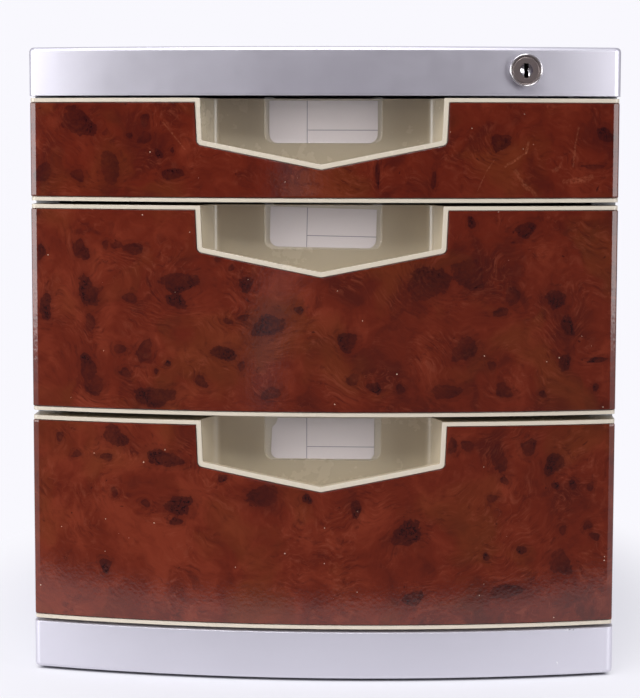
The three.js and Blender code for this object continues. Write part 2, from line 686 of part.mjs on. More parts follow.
// One side panel: a skin with a flange on each edge, and rails, bosses and screw ears inside
function sidePanel(name, side) {
  const x = (value) => side * value;
  const rear = REAR_Y - SIDE_INSET;
  const far = SIDE_INNER_X - OVERRUN;
  const half = RIB_THICKNESS / 2;
  const pocketFloor = SIDE_Z0 + SIDE_FLANGE;
  const pocketCeiling = SIDE_Z1 - SIDE_FLANGE;
  const skin = x(SKIN_INNER_X);
  const pocketFront = SIDE_FRONT_Y + SIDE_FLANGE;
  const hollow = block(x(far), skin, pocketFront, REAR_FLANGE_Y0, pocketFloor, pocketCeiling);
  const rebate = block(x(far), skin, REAR_FLANGE_Y1, rear + OVERRUN, SIDE_Z0 - OVERRUN, SIDE_Z1 + OVERRUN);
  const shell = block(x(SIDE_INNER_X), x(SIDE_OUTER_X), SIDE_FRONT_Y, rear, SIDE_Z0, SIDE_Z1)
    .subtract(hollow)
    .subtract(rebate);
  const ribEdge = SKIN_INNER_X - SIDE_RIB_DEPTH;
  const ribRoot = SIDE_OUTER_X - SIDE_SKIN / 2;
  const backScrew = REAR_FLANGE_Y1 - SCREW_LENGTH - PILOT_EXTRA;
  const baseScrew = SIDE_Z0 + SCREW_LENGTH + PILOT_EXTRA;
  const inside = [
    ...CROSS_RIB_SHARES.map((share) => {
      const y = THREE.MathUtils.lerp(RAIL_FRONT_Y, REAR_FLANGE_Y0, share);
      return block(x(ribEdge), x(ribRoot), y - half, y + half, pocketFloor - half, pocketCeiling + half);
    }),
    ...DRAWERS.flatMap((drawer) => drawerRails(drawer, x)),
    ...EAR_YS.map((y) => rodZ(x(SIDE_MID_X), y, BOSS_RADIUS, pocketFloor - half, baseScrew)),
    ...BACK_SCREW_ZS.map((z) => rodY(x(SIDE_MID_X), z, BOSS_RADIUS, backScrew, REAR_FLANGE_Y1 - half)),
    ...(side > 0 ? DRAWERS.map(barLoop) : []),
  ];
  const ears = EAR_YS.map((y) =>
    block(
      x(SIDE_INNER_X - EAR_REACH),
      x(SKIN_INNER_X + SIDE_SKIN / 2),
      y - EAR_LENGTH / 2,
      y + EAR_LENGTH / 2,
      SIDE_Z1 - EAR_THICKNESS,
      SIDE_Z1 + OVERRUN,
    ),
  );
  const aboveEars = block(x(0), x(HALF), SIDE_FRONT_Y, rear, SIDE_Z1, SIDE_Z1 + OVERRUN * 2);
  const cuts = [
    sideField(side),
    ...DRAWERS.map((drawer) => runnerGate(drawer, side)),
    ...EAR_YS.map((y) => rodZ(x(EAR_X), y, SCREW_HOLE_RADIUS, SIDE_Z1 - OVERRUN, SIDE_Z1 + OVERRUN)),
    ...EAR_YS.map((y) => rodZ(x(SIDE_MID_X), y, PILOT_RADIUS, SIDE_Z0 - OVERRUN, baseScrew - half)),
    ...BACK_SCREW_ZS.map((z) =>
      rodY(x(SIDE_MID_X), z, PILOT_RADIUS, backScrew + half, REAR_FLANGE_Y1 + OVERRUN),
    ),
    ...(side > 0 ? [barGate()] : []),
  ];
  const body = joined([shell, ...inside, joined(ears).subtract(aboveEars)]).subtract(joined(cuts));
  return piece(name, body, greyPlastic);
}

// The back panel: a flat sheet with pressed beads, screwed to the rear flanges
function backPanel() {
  const half = SKIN_INNER_X - BACK_SIDE_GAP;
  const z0 = SIDE_Z0 + RUN_GAP;
  const z1 = SIDE_Z1 - RUN_GAP;
  const parts = [block(-half, half, BACK_PANEL_FRONT_Y, BACK_PANEL_REAR_Y, z0, z1)];
  const reach = half - BACK_BEAD_END_INSET;
  for (let i = 0; i < BACK_BEAD_COUNT; i++) {
    const z = THREE.MathUtils.lerp(z0, z1, (i + 1) / (BACK_BEAD_COUNT + 1));
    const bead = roundedRectangle(
      -reach,
      reach,
      z - BACK_BEAD_HEIGHT / 2,
      z + BACK_BEAD_HEIGHT / 2,
      BACK_BEAD_HEIGHT * BACK_BEAD_ROUND_SHARE,
    );
    parts.push(runBack(bead, BACK_PANEL_FRONT_Y + BACK_PANEL / 2, BACK_PANEL_REAR_Y + BACK_BEAD_PROUD));
  }
  const holes = bothSides((side) =>
    BACK_SCREW_ZS.map((z) => {
      const [front, rear] = [BACK_PANEL_FRONT_Y - OVERRUN, BACK_PANEL_REAR_Y + OVERRUN];
      return rodY(side * SIDE_MID_X, z, SCREW_HOLE_RADIUS, front, rear);
    }),
  ).flat();
  return piece("back_panel", joined(parts).subtract(joined(holes)), greyPlastic);
}

// The notch of the finger pocket in a front of this height, drawn in by the width of its lip where asked
function notchOutline(height, inset, corner) {
  const top = point(NOTCH_TOP_HALF_WIDTH, height);
  const side = point(NOTCH_HALF_WIDTH, height - NOTCH_SIDE_DEPTH);
  const apex = point(0, height - NOTCH_DEPTH);
  const flank = side.clone().sub(top).normalize();
  const slope = apex.clone().sub(side).normalize();
  const flankShift = point(flank.y, -flank.x).multiplyScalar(inset);
  const slopeShift = point(slope.y, -slope.x).multiplyScalar(inset);
  const start = top.clone().add(flankShift);
  const through = side.clone().add(slopeShift);
  // Where the drawn-in flank meets the drawn-in slope
  const gap = through.clone().sub(start);
  const run = gap.cross(slope) / flank.cross(slope);
  const bend = start.clone().addScaledVector(flank, run);
  const low = point(0, apex.y + inset / Math.abs(slope.x));
  const high = start.clone().addScaledVector(flank, -OVERRUN);
  const mirror = (p) => point(-p.x, p.y);
  return filleted([
    { at: low, radius: corner },
    { at: bend, radius: corner },
    { at: high },
    { at: mirror(high) },
    { at: mirror(bend), radius: corner },
  ]);
}

// The plan of the pocket behind the lip: straight drafted sides and a flat back with round corners
function pocketOutline(frontInset, grow, backY) {
  const front = NOTCH_TOP_HALF_WIDTH - LIP_WIDTH + SEAT_GAP + grow;
  const back = front - POCKET_SIDE_DRAFT;
  const corner = POCKET_FILLET + grow;
  const tail = filleted([
    { at: point(front, bowY(front, frontInset)) },
    { at: point(back, backY), radius: corner },
    { at: point(-back, backY), radius: corner },
    { at: point(-front, bowY(front, frontInset)) },
  ]);
  return [...bowArc(-front, front, frontInset).slice(1, -1), ...tail];
}

const POCKET_BACK_Y = FRONT_Y + POCKET_DEPTH;
const PLATE_INSET = FACING_PROUD + FACING_THICKNESS;

// Where the four screws of a drawer of this height hold its front
function frontScrewPlaces(height) {
  const low = TRAY_LIFT;
  const high = height - TRAY_DROP;
  const places = [(NOTCH_TOP_HALF_WIDTH + TRAY_HALF) / 2 - BOSS_RADIUS * 4, TRAY_HALF - BOSS_RADIUS * 3];
  return bothSides((side) =>
    places.map((x, i) => [side * x, THREE.MathUtils.lerp(low, high, SCREW_HEIGHT_SHARES[i])]),
  ).flat();
}

// What stands inside the hollow of a drawer front of this height: pocket walls, ribs and screw bosses
function frontInsides(height, cavityHalf) {
  const half = RIB_THICKNESS / 2;
  const pocketBottom = height - NOTCH_DEPTH - POCKET_UNDERCUT - POCKET_WALL;
  const pocketRear = POCKET_BACK_Y + POCKET_BACK_WALL;
  const upright = (x, top) => block(x - half, x + half, FRONT_Y, FRONT_BACK_Y + OVERRUN, -OVERRUN, top);
  return joined([
    raised(pocketOutline(PLATE_INSET, POCKET_WALL, pocketRear), pocketBottom, height + OVERRUN),
    ...POCKET_RIB_SHARES.map((share) => upright(share * NOTCH_HALF_WIDTH, pocketBottom + half)),
    ...bothSides((side) =>
      SIDE_RIB_SHARES.map((share) =>
        upright(side * THREE.MathUtils.lerp(NOTCH_TOP_HALF_WIDTH, cavityHalf, share), height + OVERRUN),
      ),
    ).flat(),
    ...frontScrewPlaces(height).map(([x, z]) => rodY(x, z, BOSS_RADIUS, FRONT_Y, FRONT_BACK_Y + OVERRUN)),
  ]);
}

// The bowed step in a drawer front that takes the facing
function facingSeat(height) {
  const reach = FRONT_HALF + OVERRUN;
  const band = [...bowArc(-reach, reach, -OVERRUN), ...bowArc(reach, -reach, PLATE_INSET)];
  const notch = runBack(notchOutline(height, 0, NOTCH_CORNER_RADIUS), FRONT_Y - OVERRUN, FRONT_BACK_Y);
  return raised(band, FRONT_RIM, height - FRONT_RIM).subtract(notch);
}

// The cream moulding of a drawer front, with its rims, lip, finger pocket, ribs and screw bosses
function drawerFront(name, height) {
  const back = straightBack(FRONT_HALF, FRONT_BACK_Y);
  const outline = bowOutline(FACING_PROUD, FRONT_HALF, FRONT_CORNER_RADIUS, back);
  const cavityHalf = FRONT_HALF - FRONT_WALL;
  const plateBack = PLATE_INSET + FRONT_PLATE;
  const cavityBack = straightBack(cavityHalf, FRONT_BACK_Y + OVERRUN);
  const cavityOutline = bowOutline(plateBack, cavityHalf, LIP_CORNER_RADIUS, cavityBack);
  const insides = frontInsides(height, cavityHalf);
  const cavity = raised(cavityOutline, FRONT_RIM, height - FRONT_RIM).subtract(insides);
  const pocketFloor = height - NOTCH_DEPTH - POCKET_UNDERCUT;
  const pocket = raised(pocketOutline(plateBack, 0, POCKET_BACK_Y), pocketFloor, height + OVERRUN);
  const mouth = notchOutline(height, LIP_WIDTH, LIP_CORNER_RADIUS);
  const recess = labelOutline(height, LABEL_RECESS_HALF_WIDTH, LABEL_RECESS_HEIGHT, -OVERRUN);
  const pilotStart = FRONT_BACK_Y - SCREW_LENGTH + PILOT_EXTRA / 2;
  const pilots = frontScrewPlaces(height).map(([x, z]) =>
    rodY(x, z, PILOT_RADIUS, pilotStart, FRONT_BACK_Y + OVERRUN),
  );
  const body = raised(outline, 0, height)
    .subtract(cavity)
    .subtract(facingSeat(height))
    .subtract(pocket)
    .subtract(runBack(mouth, FRONT_Y - OVERRUN, bowY(NOTCH_TOP_HALF_WIDTH, plateBack)))
    .subtract(runBack(recess, POCKET_BACK_Y - OVERRUN, POCKET_BACK_Y + LABEL_RECESS_DEPTH))
    .subtract(joined(pilots));
  return piece(name, body, creamPlastic);
}

// A label shape hanging from the pocket's top edge, with round lower corners
function labelOutline(height, half, drop, topMargin) {
  const low = height - drop;
  const high = height - topMargin;
  return filleted([
    { at: point(-half, low), radius: LABEL_CORNER_RADIUS },
    { at: point(half, low), radius: LABEL_CORNER_RADIUS },
    { at: point(half, high) },
    { at: point(-half, high) },
  ]);
}

// The glossy burl facing: a bowed sheet with rounded ends and the notch cut out
function drawerFacing(name, height) {
  const half = FRONT_HALF + FACING_SIDE_OVERLAP;
  const back = PLATE_INSET - FACING_GAP;
  const sheet = raised(
    bowOutline(0, half, FACING_CORNER_RADIUS, bowArc(half, -half, back)),
    FRONT_RIM + FACING_GAP,
    height - FRONT_RIM - FACING_GAP,
  );
  const notch = notchOutline(height, -FACING_GAP, NOTCH_CORNER_RADIUS + FACING_GAP);
  return piece(name, sheet.subtract(runBack(notch, FRONT_Y - OVERRUN, FRONT_BACK_Y)), burl);
}

// The paper card and the clear window that keeps it in its recess
function drawerLabel(name, height) {
  const windowY = POCKET_BACK_Y + SEAT_GAP;
  const windowRear = windowY + LABEL_WINDOW_THICKNESS;
  const cardY = windowRear + SEAT_GAP;
  const windowHalf = LABEL_RECESS_HALF_WIDTH - LABEL_EDGE_GAP;
  const eared = labelOutline(height, windowHalf, LABEL_RECESS_HEIGHT - LABEL_EDGE_GAP, -LABEL_EAR_RISE);
  const scoopHalf = windowHalf - LABEL_EAR_WIDTH;
  const scoopTop = height + LABEL_EAR_RISE + OVERRUN;
  const scoopFloor = height - LABEL_EDGE_GAP;
  const scoop = block(-scoopHalf, scoopHalf, POCKET_BACK_Y, FRONT_BACK_Y, scoopFloor, scoopTop);
  const window = runBack(eared, windowY, windowRear).subtract(scoop);
  const cardShape = labelOutline(
    height,
    LABEL_RECESS_HALF_WIDTH - LABEL_CARD_MARGIN,
    LABEL_RECESS_HEIGHT - LABEL_EDGE_GAP,
    LABEL_CARD_TOP_MARGIN,
  );
  return [
    piece(name + "_label_window", window, clearPlastic),
    piece(name + "_label_card", runBack(cardShape, cardY, cardY + LABEL_CARD_THICKNESS), card),
  ];
}

// The tray: an open box whose top edge turns out into a runner on each side
function drawerTray(name, height) {
  const low = TRAY_LIFT;
  const top = height - TRAY_DROP;
  const wall = TRAY_WALL;
  const above = top + OVERRUN;
  const runnerBottom = top - RUNNER_THICKNESS;
  const outer = roundedRectangle(-TRAY_HALF, TRAY_HALF, TRAY_FRONT_Y, TRAY_REAR_Y, TRAY_CORNER_RADIUS);
  const inside = roundedRectangle(
    wall - TRAY_HALF,
    TRAY_HALF - wall,
    TRAY_FRONT_Y + wall,
    TRAY_REAR_Y - wall,
    TRAY_CORNER_RADIUS - wall / 2,
  );
  const runners = bothSides((side) => {
    const [root, edge] = [side * (TRAY_HALF - wall / 2), side * RUNNER_OUTER_X];
    return block(root, edge, RUNNER_FRONT_Y, RUNNER_REAR_Y, runnerBottom, above);
  });
  const stopTabs = bothSides((side) =>
    block(
      side * (RUNNER_OUTER_X - STOP_TAB_WIDTH),
      side * (RUNNER_OUTER_X - RUN_GAP),
      STOP_TAB_Y,
      STOP_TAB_Y + STOP_TAB_LENGTH,
      top - RUNNER_THICKNESS / 2,
      top + STOP_TAB_HEIGHT,
    ),
  );
  const skids = bothSides((side) => {
    const x = side * TRAY_HALF * TRAY_RIB_SHARE;
    const half = TRAY_RIB_WIDTH / 2;
    const front = TRAY_FRONT_Y + TRAY_CORNER_RADIUS;
    const rear = TRAY_REAR_Y - TRAY_CORNER_RADIUS;
    return block(x - half, x + half, front, rear, low - TRAY_RIB_HEIGHT, low + wall / 2);
  });
  const holes = frontScrewPlaces(height).map(([x, z]) =>
    rodY(x, z, SCREW_HOLE_RADIUS, TRAY_FRONT_Y - OVERRUN, TRAY_FRONT_Y + wall + OVERRUN),
  );
  const lockCatch = block(
    RUNNER_OUTER_X - RUN_GAP - CATCH_WIDTH,
    RUNNER_OUTER_X - RUN_GAP,
    RUNNER_FRONT_Y,
    RUNNER_FRONT_Y + CATCH_LENGTH,
    top - RUNNER_THICKNESS / 2,
    top + CATCH_HEIGHT,
  );
  const body = joined([raised(outer, low, above), ...runners])
    .subtract(block(-HALF, HALF, FRONT_Y, REAR_Y, top, above + OVERRUN))
    .add(joined([...stopTabs, ...skids, lockCatch]))
    .subtract(raised(inside, low + wall, above))
    .subtract(joined(holes));
  return piece(name, body, creamPlastic);
}

// A whole drawer, built from the lower edge of its front
function drawer({ name, z, height }) {
  const group = new THREE.Group();
  group.add(
    drawerFront(name + "_front", height),
    drawerFacing(name + "_facing", height),
    drawerTray(name + "_tray", height),
    ...drawerLabel(name, height),
    ...frontScrewPlaces(height).map(([x, screwZ], i) =>
      screw(`${name}_screw_${i + 1}`, x, TRAY_FRONT_Y + TRAY_WALL + SEAT_GAP, screwZ, FORWARD),
    ),
  );
  group.position.z = z;
  return group;
}

// The lock, built about its own axis with its seat on the fascia at the origin
function lock() {
  const group = new THREE.Group();
  const rear = BARREL_REAR_Y - LOCK_SEAT_Y;
  const front = -LOCK_FLANGE_THICKNESS;
  const headBore = PLUG_HEAD_RADIUS + PLUG_CLEARANCE;
  const bore = PLUG_RADIUS + PLUG_CLEARANCE;
  const faceY = front + LOCK_RIM_STEP;
  const headFrontY = front + PLUG_HEAD_RECESS;
  const headRearY = headFrontY + PLUG_HEAD_THICKNESS;
  const seat = -SEAT_GAP;
  const rimInner = LOCK_FLANGE_RADIUS - LOCK_RIM_WIDTH;
  const housing = turned(
    [
      [bore, headRearY + PLUG_CLEARANCE],
      [headBore, headRearY + PLUG_CLEARANCE],
      [headBore, faceY],
      [rimInner, faceY],
      [rimInner, front],
      [LOCK_FLANGE_RADIUS - LOCK_RIM_WIDTH / 2, front],
      [LOCK_FLANGE_RADIUS, front + LOCK_RIM_WIDTH / 2],
      [LOCK_FLANGE_RADIUS, seat],
      [LOCK_BARREL_RADIUS, seat],
      [LOCK_BARREL_RADIUS, rear],
      [bore, rear],
      [bore, headRearY + PLUG_CLEARANCE],
    ],
    0,
    0,
  );
  const plugRear = rear + CAM_GAP / 2;
  const camRear = CAM_REAR_Y - LOCK_SEAT_Y;
  const tail = PLUG_TAIL / 2;
  const keyMid = -KEYWAY_HEIGHT * KEYWAY_DROP_SHARE;
  const plug = turned(
    [
      [0, headFrontY],
      [PLUG_HEAD_RADIUS, headFrontY],
      [PLUG_HEAD_RADIUS, headRearY],
      [PLUG_RADIUS, headRearY],
      [PLUG_RADIUS, plugRear],
      [0, plugRear],
    ],
    0,
    0,
  )
    .add(block(-tail, tail, plugRear - CAM_GAP, camRear - SEAT_GAP, -tail, tail))
    .subtract(
      turned(
        [
          [0, headFrontY - OVERRUN],
          [KEY_CONE_RADIUS, headFrontY - OVERRUN],
          [KEY_CONE_RADIUS, headFrontY],
          [KEY_CONE_RADIUS - KEY_CONE_DEPTH, headFrontY + KEY_CONE_DEPTH],
          [0, headFrontY + KEY_CONE_DEPTH],
        ],
        0,
        0,
      ),
    )
    .subtract(
      block(
        -KEYWAY_WIDTH / 2,
        KEYWAY_WIDTH / 2,
        headFrontY - OVERRUN,
        headFrontY + KEYWAY_DEPTH,
        keyMid - KEYWAY_HEIGHT / 2,
        keyMid + KEYWAY_HEIGHT / 2,
      ),
    )
    .subtract(rodY(0, 0, CAM_SCREW_RADIUS + SEAT_GAP, plugRear - CAM_SCREW_LENGTH, camRear + OVERRUN));

  const camFront = CAM_FRONT_Y - LOCK_SEAT_Y;
  const pinX = CRANK_RADIUS * Math.cos(CRANK_START);
  const pinZ = CRANK_RADIUS * Math.sin(CRANK_START);
  const barRear = BAR_FRONT_Y + BAR_THICKNESS - LOCK_SEAT_Y;
  const hole = tail + SEAT_GAP;
  const flare = Math.acos((CAM_HUB_RADIUS - CAM_LOBE_RADIUS) / CRANK_RADIUS);
  const teardrop = [
    ...arc(pinX, pinZ, CAM_LOBE_RADIUS, CRANK_START - flare, CRANK_START + flare),
    ...arc(0, 0, CAM_HUB_RADIUS, CRANK_START + flare, CRANK_START - flare + 2 * Math.PI, SMALL_ROUND_SIDES),
  ];
  const cam = runBack(teardrop, camFront, camRear)
    .add(rodY(pinX, pinZ, CRANK_PIN_RADIUS, camFront + CAM_THICKNESS / 2, barRear + CRANK_PIN_OVERLAP))
    .subtract(block(-hole, hole, camFront - OVERRUN, camRear + OVERRUN, -hole, hole));
  const camScrew = turned(
    [
      [0, camRear + SEAT_GAP - CAM_SCREW_LENGTH],
      [CAM_SCREW_RADIUS, camRear + SEAT_GAP - CAM_SCREW_LENGTH],
      [CAM_SCREW_RADIUS, camRear + SEAT_GAP],
      [CAM_SCREW_HEAD_RADIUS, camRear + SEAT_GAP],
      [CAM_SCREW_HEAD_RADIUS, camRear + CAM_SCREW_HEAD_HEIGHT / 2],
      [CAM_SCREW_HEAD_RADIUS * SCREW_CROWN_SHARE, camRear + CAM_SCREW_HEAD_HEIGHT],
      [0, camRear + CAM_SCREW_HEAD_HEIGHT],
    ],
    0,
    0,
    SMALL_ROUND_SIDES,
  );
  const nutY = LOCK_SEAT_WALL + SEAT_GAP;
  const nutEnd = nutY + LOCK_NUT_THICKNESS;
  const nutCorner = LOCK_NUT_ACROSS_FLATS / 2 / Math.cos(Math.PI / 6);
  const hexagon = arc(0, 0, nutCorner, 0, (Math.PI * 5) / 3, 5);
  const nutBore = LOCK_BARREL_RADIUS + LOCK_HOLE_CLEARANCE;
  const nut = runBack(hexagon, nutY, nutEnd).subtract(
    rodY(0, 0, nutBore, nutY - OVERRUN, nutEnd + OVERRUN, ROUND_SIDES),
  );
  group.add(
    piece("lock_housing", housing, chrome),
    piece("lock_plug", plug, chrome),
    piece("lock_cam", cam, zincSteel),
    piece("lock_cam_screw", camScrew, zincSteel),
    piece("lock_nut", nut, zincSteel),
  );
  group.position.set(LOCK_X, LOCK_SEAT_Y, LOCK_Z);
  return group;
}

// The lock bar: a steel strip down the right side, with a slotted arm over the crank and a blade per catch
function lockBar() {
  const arm = CRANK_PIN_RADIUS + BAR_SLOT_CLEARANCE + BAR_ARM_MARGIN;
  const slotLeft = LOCK_X + CRANK_RADIUS * Math.cos(CRANK_START) - CRANK_PIN_RADIUS - BAR_SLOT_END;
  const slotRight = LOCK_X + CRANK_RADIUS + CRANK_PIN_RADIUS + BAR_SLOT_END;
  const slotHalf = CRANK_PIN_RADIUS + BAR_SLOT_CLEARANCE;
  const armEnd = slotLeft - BAR_ARM_MARGIN;
  const bladeEnd = BAR_INNER_X - BLADE_REACH;
  const foot = runnerTopZ(DRAWERS.at(-1)) - BAR_LOWER_REACH;
  const parts = [
    block(BAR_INNER_X, BAR_OUTER_X, BAR_FRONT_Y, BAR_REAR_Y, foot, SLOT_Z + arm),
    block(armEnd, BAR_OUTER_X, BAR_FRONT_Y, BAR_FRONT_Y + BAR_THICKNESS, SLOT_Z - arm, SLOT_Z + arm),
    ...DRAWERS.map((drawer) => {
      const z = runnerTopZ(drawer) + CATCH_HEIGHT + BLADE_CLEARANCE;
      return block(bladeEnd, BAR_OUTER_X, BAR_REAR_Y - BLADE_THICKNESS, BAR_REAR_Y, z, z + BLADE_HEIGHT);
    }),
  ];
  const [slotLow, slotHigh] = [SLOT_Z - slotHalf, SLOT_Z + slotHalf];
  const slot = block(slotLeft, slotRight, BAR_FRONT_Y - OVERRUN, BAR_FRONT_Y + OVERRUN, slotLow, slotHigh);
  return piece("lock_bar", joined(parts).subtract(slot), zincSteel);
}

const sideName = (side) => (side < 0 ? "left" : "right");
const cabinet = new THREE.Group();
cabinet.add(topCover(), base(), backPanel());
for (const side of [-1, 1]) {
  const hand = sideName(side);
  cabinet.add(sidePanel(`side_panel_${hand}`, side));
  EAR_YS.forEach((y, i) => {
    const end = i ? "rear" : "front";
    cabinet.add(
      foot(`foot_${end}_${hand}`, side * FOOT_X, FOOT_YS[i]),
      screw(`cover_screw_${end}_${hand}`, side * EAR_X, y, SIDE_Z1 - EAR_THICKNESS - SEAT_GAP, UP),
      screw(`base_screw_${end}_${hand}`, side * SIDE_MID_X, y, BASE_TOP - BASE_DECK - SEAT_GAP, UP),
    );
  });
  BACK_SCREW_ZS.forEach((z, i) => {
    const level = i ? "upper" : "lower";
    const y = BACK_PANEL_REAR_Y + SEAT_GAP;
    cabinet.add(screw(`back_screw_${level}_${hand}`, side * SIDE_MID_X, y, z, FORWARD));
  });
}
cabinet.add(...DRAWERS.map(drawer), lock(), lockBar());

export default cabinet;
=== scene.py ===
# %% [markdown]
# # A desktop filing cabinet, dressed in Blender
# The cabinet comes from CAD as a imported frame: every piece already has its true size and its true place.
# This lesson adds what CAD leaves out, which is finish, light and a camera. Nothing is moved or scaled. A
# piece whose curved faces came in as flat facets is replaced by a finer one that stands in the same place.

# %% Load the frame
import json
import math

import bmesh
import bpy
from mathutils import Matrix, Vector


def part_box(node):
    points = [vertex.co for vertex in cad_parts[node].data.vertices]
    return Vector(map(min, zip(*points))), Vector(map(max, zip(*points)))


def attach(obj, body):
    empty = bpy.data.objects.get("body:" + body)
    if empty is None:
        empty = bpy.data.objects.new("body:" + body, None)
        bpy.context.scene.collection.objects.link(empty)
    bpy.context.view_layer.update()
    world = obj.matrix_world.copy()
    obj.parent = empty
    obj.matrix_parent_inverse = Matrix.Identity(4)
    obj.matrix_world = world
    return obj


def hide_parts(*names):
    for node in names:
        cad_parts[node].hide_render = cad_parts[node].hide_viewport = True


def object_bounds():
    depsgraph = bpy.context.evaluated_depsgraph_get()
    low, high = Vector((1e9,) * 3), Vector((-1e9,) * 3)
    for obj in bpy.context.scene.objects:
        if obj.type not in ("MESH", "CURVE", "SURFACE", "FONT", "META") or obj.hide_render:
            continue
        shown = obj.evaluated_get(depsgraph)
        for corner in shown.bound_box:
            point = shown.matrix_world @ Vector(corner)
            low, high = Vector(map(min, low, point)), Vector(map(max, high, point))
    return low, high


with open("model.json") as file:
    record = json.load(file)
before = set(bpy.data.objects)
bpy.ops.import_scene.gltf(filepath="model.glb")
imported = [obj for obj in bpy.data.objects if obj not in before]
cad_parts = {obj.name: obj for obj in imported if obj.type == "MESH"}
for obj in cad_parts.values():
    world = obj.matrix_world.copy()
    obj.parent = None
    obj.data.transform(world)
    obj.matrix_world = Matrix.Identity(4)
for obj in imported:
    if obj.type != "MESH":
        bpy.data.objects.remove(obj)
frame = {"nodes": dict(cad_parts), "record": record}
cad_box = [list(corner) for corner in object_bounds()]
record = frame["record"]
MM = 0.001
print("CAD box in metres:", cad_box)

# %% [markdown]
# ## Which body a piece rides on
# The record names the body and the finish of every node. A drawer front has to travel with its drawer and
# the lock plug has to turn with the lock, so the two lookups below are made once and each new piece asks
# them. Sizes that the new pieces share with the CAD ones are read from the boxes of its nodes, in
# millimetres.

# %% Bodies and finishes by node
body_of = {node: body for body, nodes in record["behaviour"]["bodies"].items() for node in nodes}
slot_of = {part["node"]: part["material_slot"] for part in record["subparts"]}
DRAWERS = ("top_drawer", "middle_drawer", "bottom_drawer")


def box_in_mm(node, digits=1):
    return [[round(value / MM, digits) for value in corner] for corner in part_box(node)]


# %% [markdown]
# ## Short words for shader nodes
# A material is a tree of nodes. Written out in full, each node takes four lines, so these helpers add one
# node, fill its inputs and hand back what the next node needs. A value that comes out of a node knows its
# own tree, so only a helper that starts from nothing has to be told the tree. Colours are given as they
# look on a screen, 0 to 255, and turned into the linear values that a renderer adds up.


# %% Helpers that add nodes
def screen_colour(red, green, blue):
    shares = [value / 255 for value in (red, green, blue)]
    linear = [s / 12.92 if s <= 0.04045 else ((s + 0.055) / 1.055) ** 2.4 for s in shares]
    return (*linear, 1.0)


def fill(shader_node, inputs):
    for name, value in inputs.items():
        socket = shader_node.inputs[name]
        if isinstance(value, bpy.types.Node):
            value = value.outputs[0]
        if isinstance(value, bpy.types.NodeSocket):
            shader_node.id_data.links.new(value, socket)
        else:
            socket.default_value = value
    return shader_node


def add(tree, kind, inputs=None, **settings):
    made = tree.nodes.new("ShaderNode" + kind)
    for name, value in settings.items():
        setattr(made, name, value)
    return fill(made, inputs or {})


def noise(place, scale, detail=2.0, rough=0.5, output=0):
    inputs = {"Vector": place, "Scale": scale, "Detail": detail, "Roughness": rough}
    return add(place.id_data, "TexNoise", inputs).outputs[output]


def cells(place, scale):
    found = add(place.id_data, "TexVoronoi", {"Vector": place, "Scale": scale}).outputs
    chance = add(place.id_data, "SeparateColor", {0: found["Color"]}).outputs
    return found["Distance"], chance["Red"], chance["Green"]


def parts(place):
    return add(place.id_data, "SeparateXYZ", {0: place}).outputs


def on_mesh(tree, name):
    return add(tree, "Attribute", attribute_name=name).outputs["Fac"]


print("grey 128 is", round(screen_colour(128, 128, 128)[0], 3), "in linear light")


# %% Helpers that reckon with values
def calc(operation, *values):
    tree = next(value.id_data for value in values if isinstance(value, bpy.types.NodeSocket))
    return add(tree, "Math", dict(enumerate(values)), operation=operation).outputs[0]


def times(first, second, *more):
    product = calc("MULTIPLY", first, second)
    return times(product, *more) if more else product


def plus(first, second):
    return calc("ADD", first, second)


def minus(first, second):
    return calc("SUBTRACT", first, second)


def ratio(first, second):
    return calc("DIVIDE", first, second)


def apart(first, second):
    return calc("ABSOLUTE", minus(first, second))


def remap(value, low, high, to_low=0.0, to_high=1.0):
    ends = {"Value": value, "From Min": low, "From Max": high, "To Min": to_low, "To Max": to_high}
    return add(value.id_data, "MapRange", ends, interpolation_type="SMOOTHSTEP").outputs[0]


def fade(value, low, high):
    return remap(value, low, high, 1.0, 0.0)


def mix(share, under, over):
    return add(share.id_data, "Mix", {0: share, 6: under, 7: over}, data_type="RGBA").outputs[2]


def vector(operation, first, inputs, output=0):
    return add(first.id_data, "VectorMath", {0: first, **inputs}, operation=operation).outputs[output]


def offset(first, second):
    return vector("SUBTRACT", first, {1: second})


def scaled(first, scale):
    return vector("SCALE", first, {"Scale": scale})


def dot(first, second):
    return vector("DOT_PRODUCT", first, {1: second}, 1)


def length(first):
    return vector("LENGTH", first, {}, 1)


def millimetres(tree):
    return scaled(add(tree, "TexCoord").outputs["Object"], 1000.0)


# %% [markdown]
# ## The camera
# The photograph was taken from about 1.1 m in front of the drawers with a long lens, slightly above the top
# cover, and it looks a little down. Lens, place and tilt were worked out from the corners of the real
# cabinet in the picture. The picture's long side is 698 pixels, so a focal length in pixels becomes
# millimetres of a 36 mm sensor.

# %% Camera
FOCAL_PIXELS, PICTURE_PIXELS, SENSOR_MM = 2196.4457, 698, 36
CAMERA_PLACE = Vector((0.0455246, -1.2967389, 0.2781439))
LOOK_DOWN, LOOK_LEFT, CAMERA_ROLL = 0.0976852, 0.0419114, 0.0020528

ahead = math.cos(LOOK_DOWN)
forward = Vector((-math.sin(LOOK_LEFT) * ahead, math.cos(LOOK_LEFT) * ahead, -math.sin(LOOK_DOWN)))
level_right = Vector((math.cos(LOOK_LEFT), math.sin(LOOK_LEFT), 0))
level_up = level_right.cross(forward)
camera_right = level_right * math.cos(CAMERA_ROLL) + level_up * math.sin(CAMERA_ROLL)
camera_up = level_up * math.cos(CAMERA_ROLL) - level_right * math.sin(CAMERA_ROLL)
aimed = Matrix((camera_right, camera_up, -forward)).transposed().to_4x4()

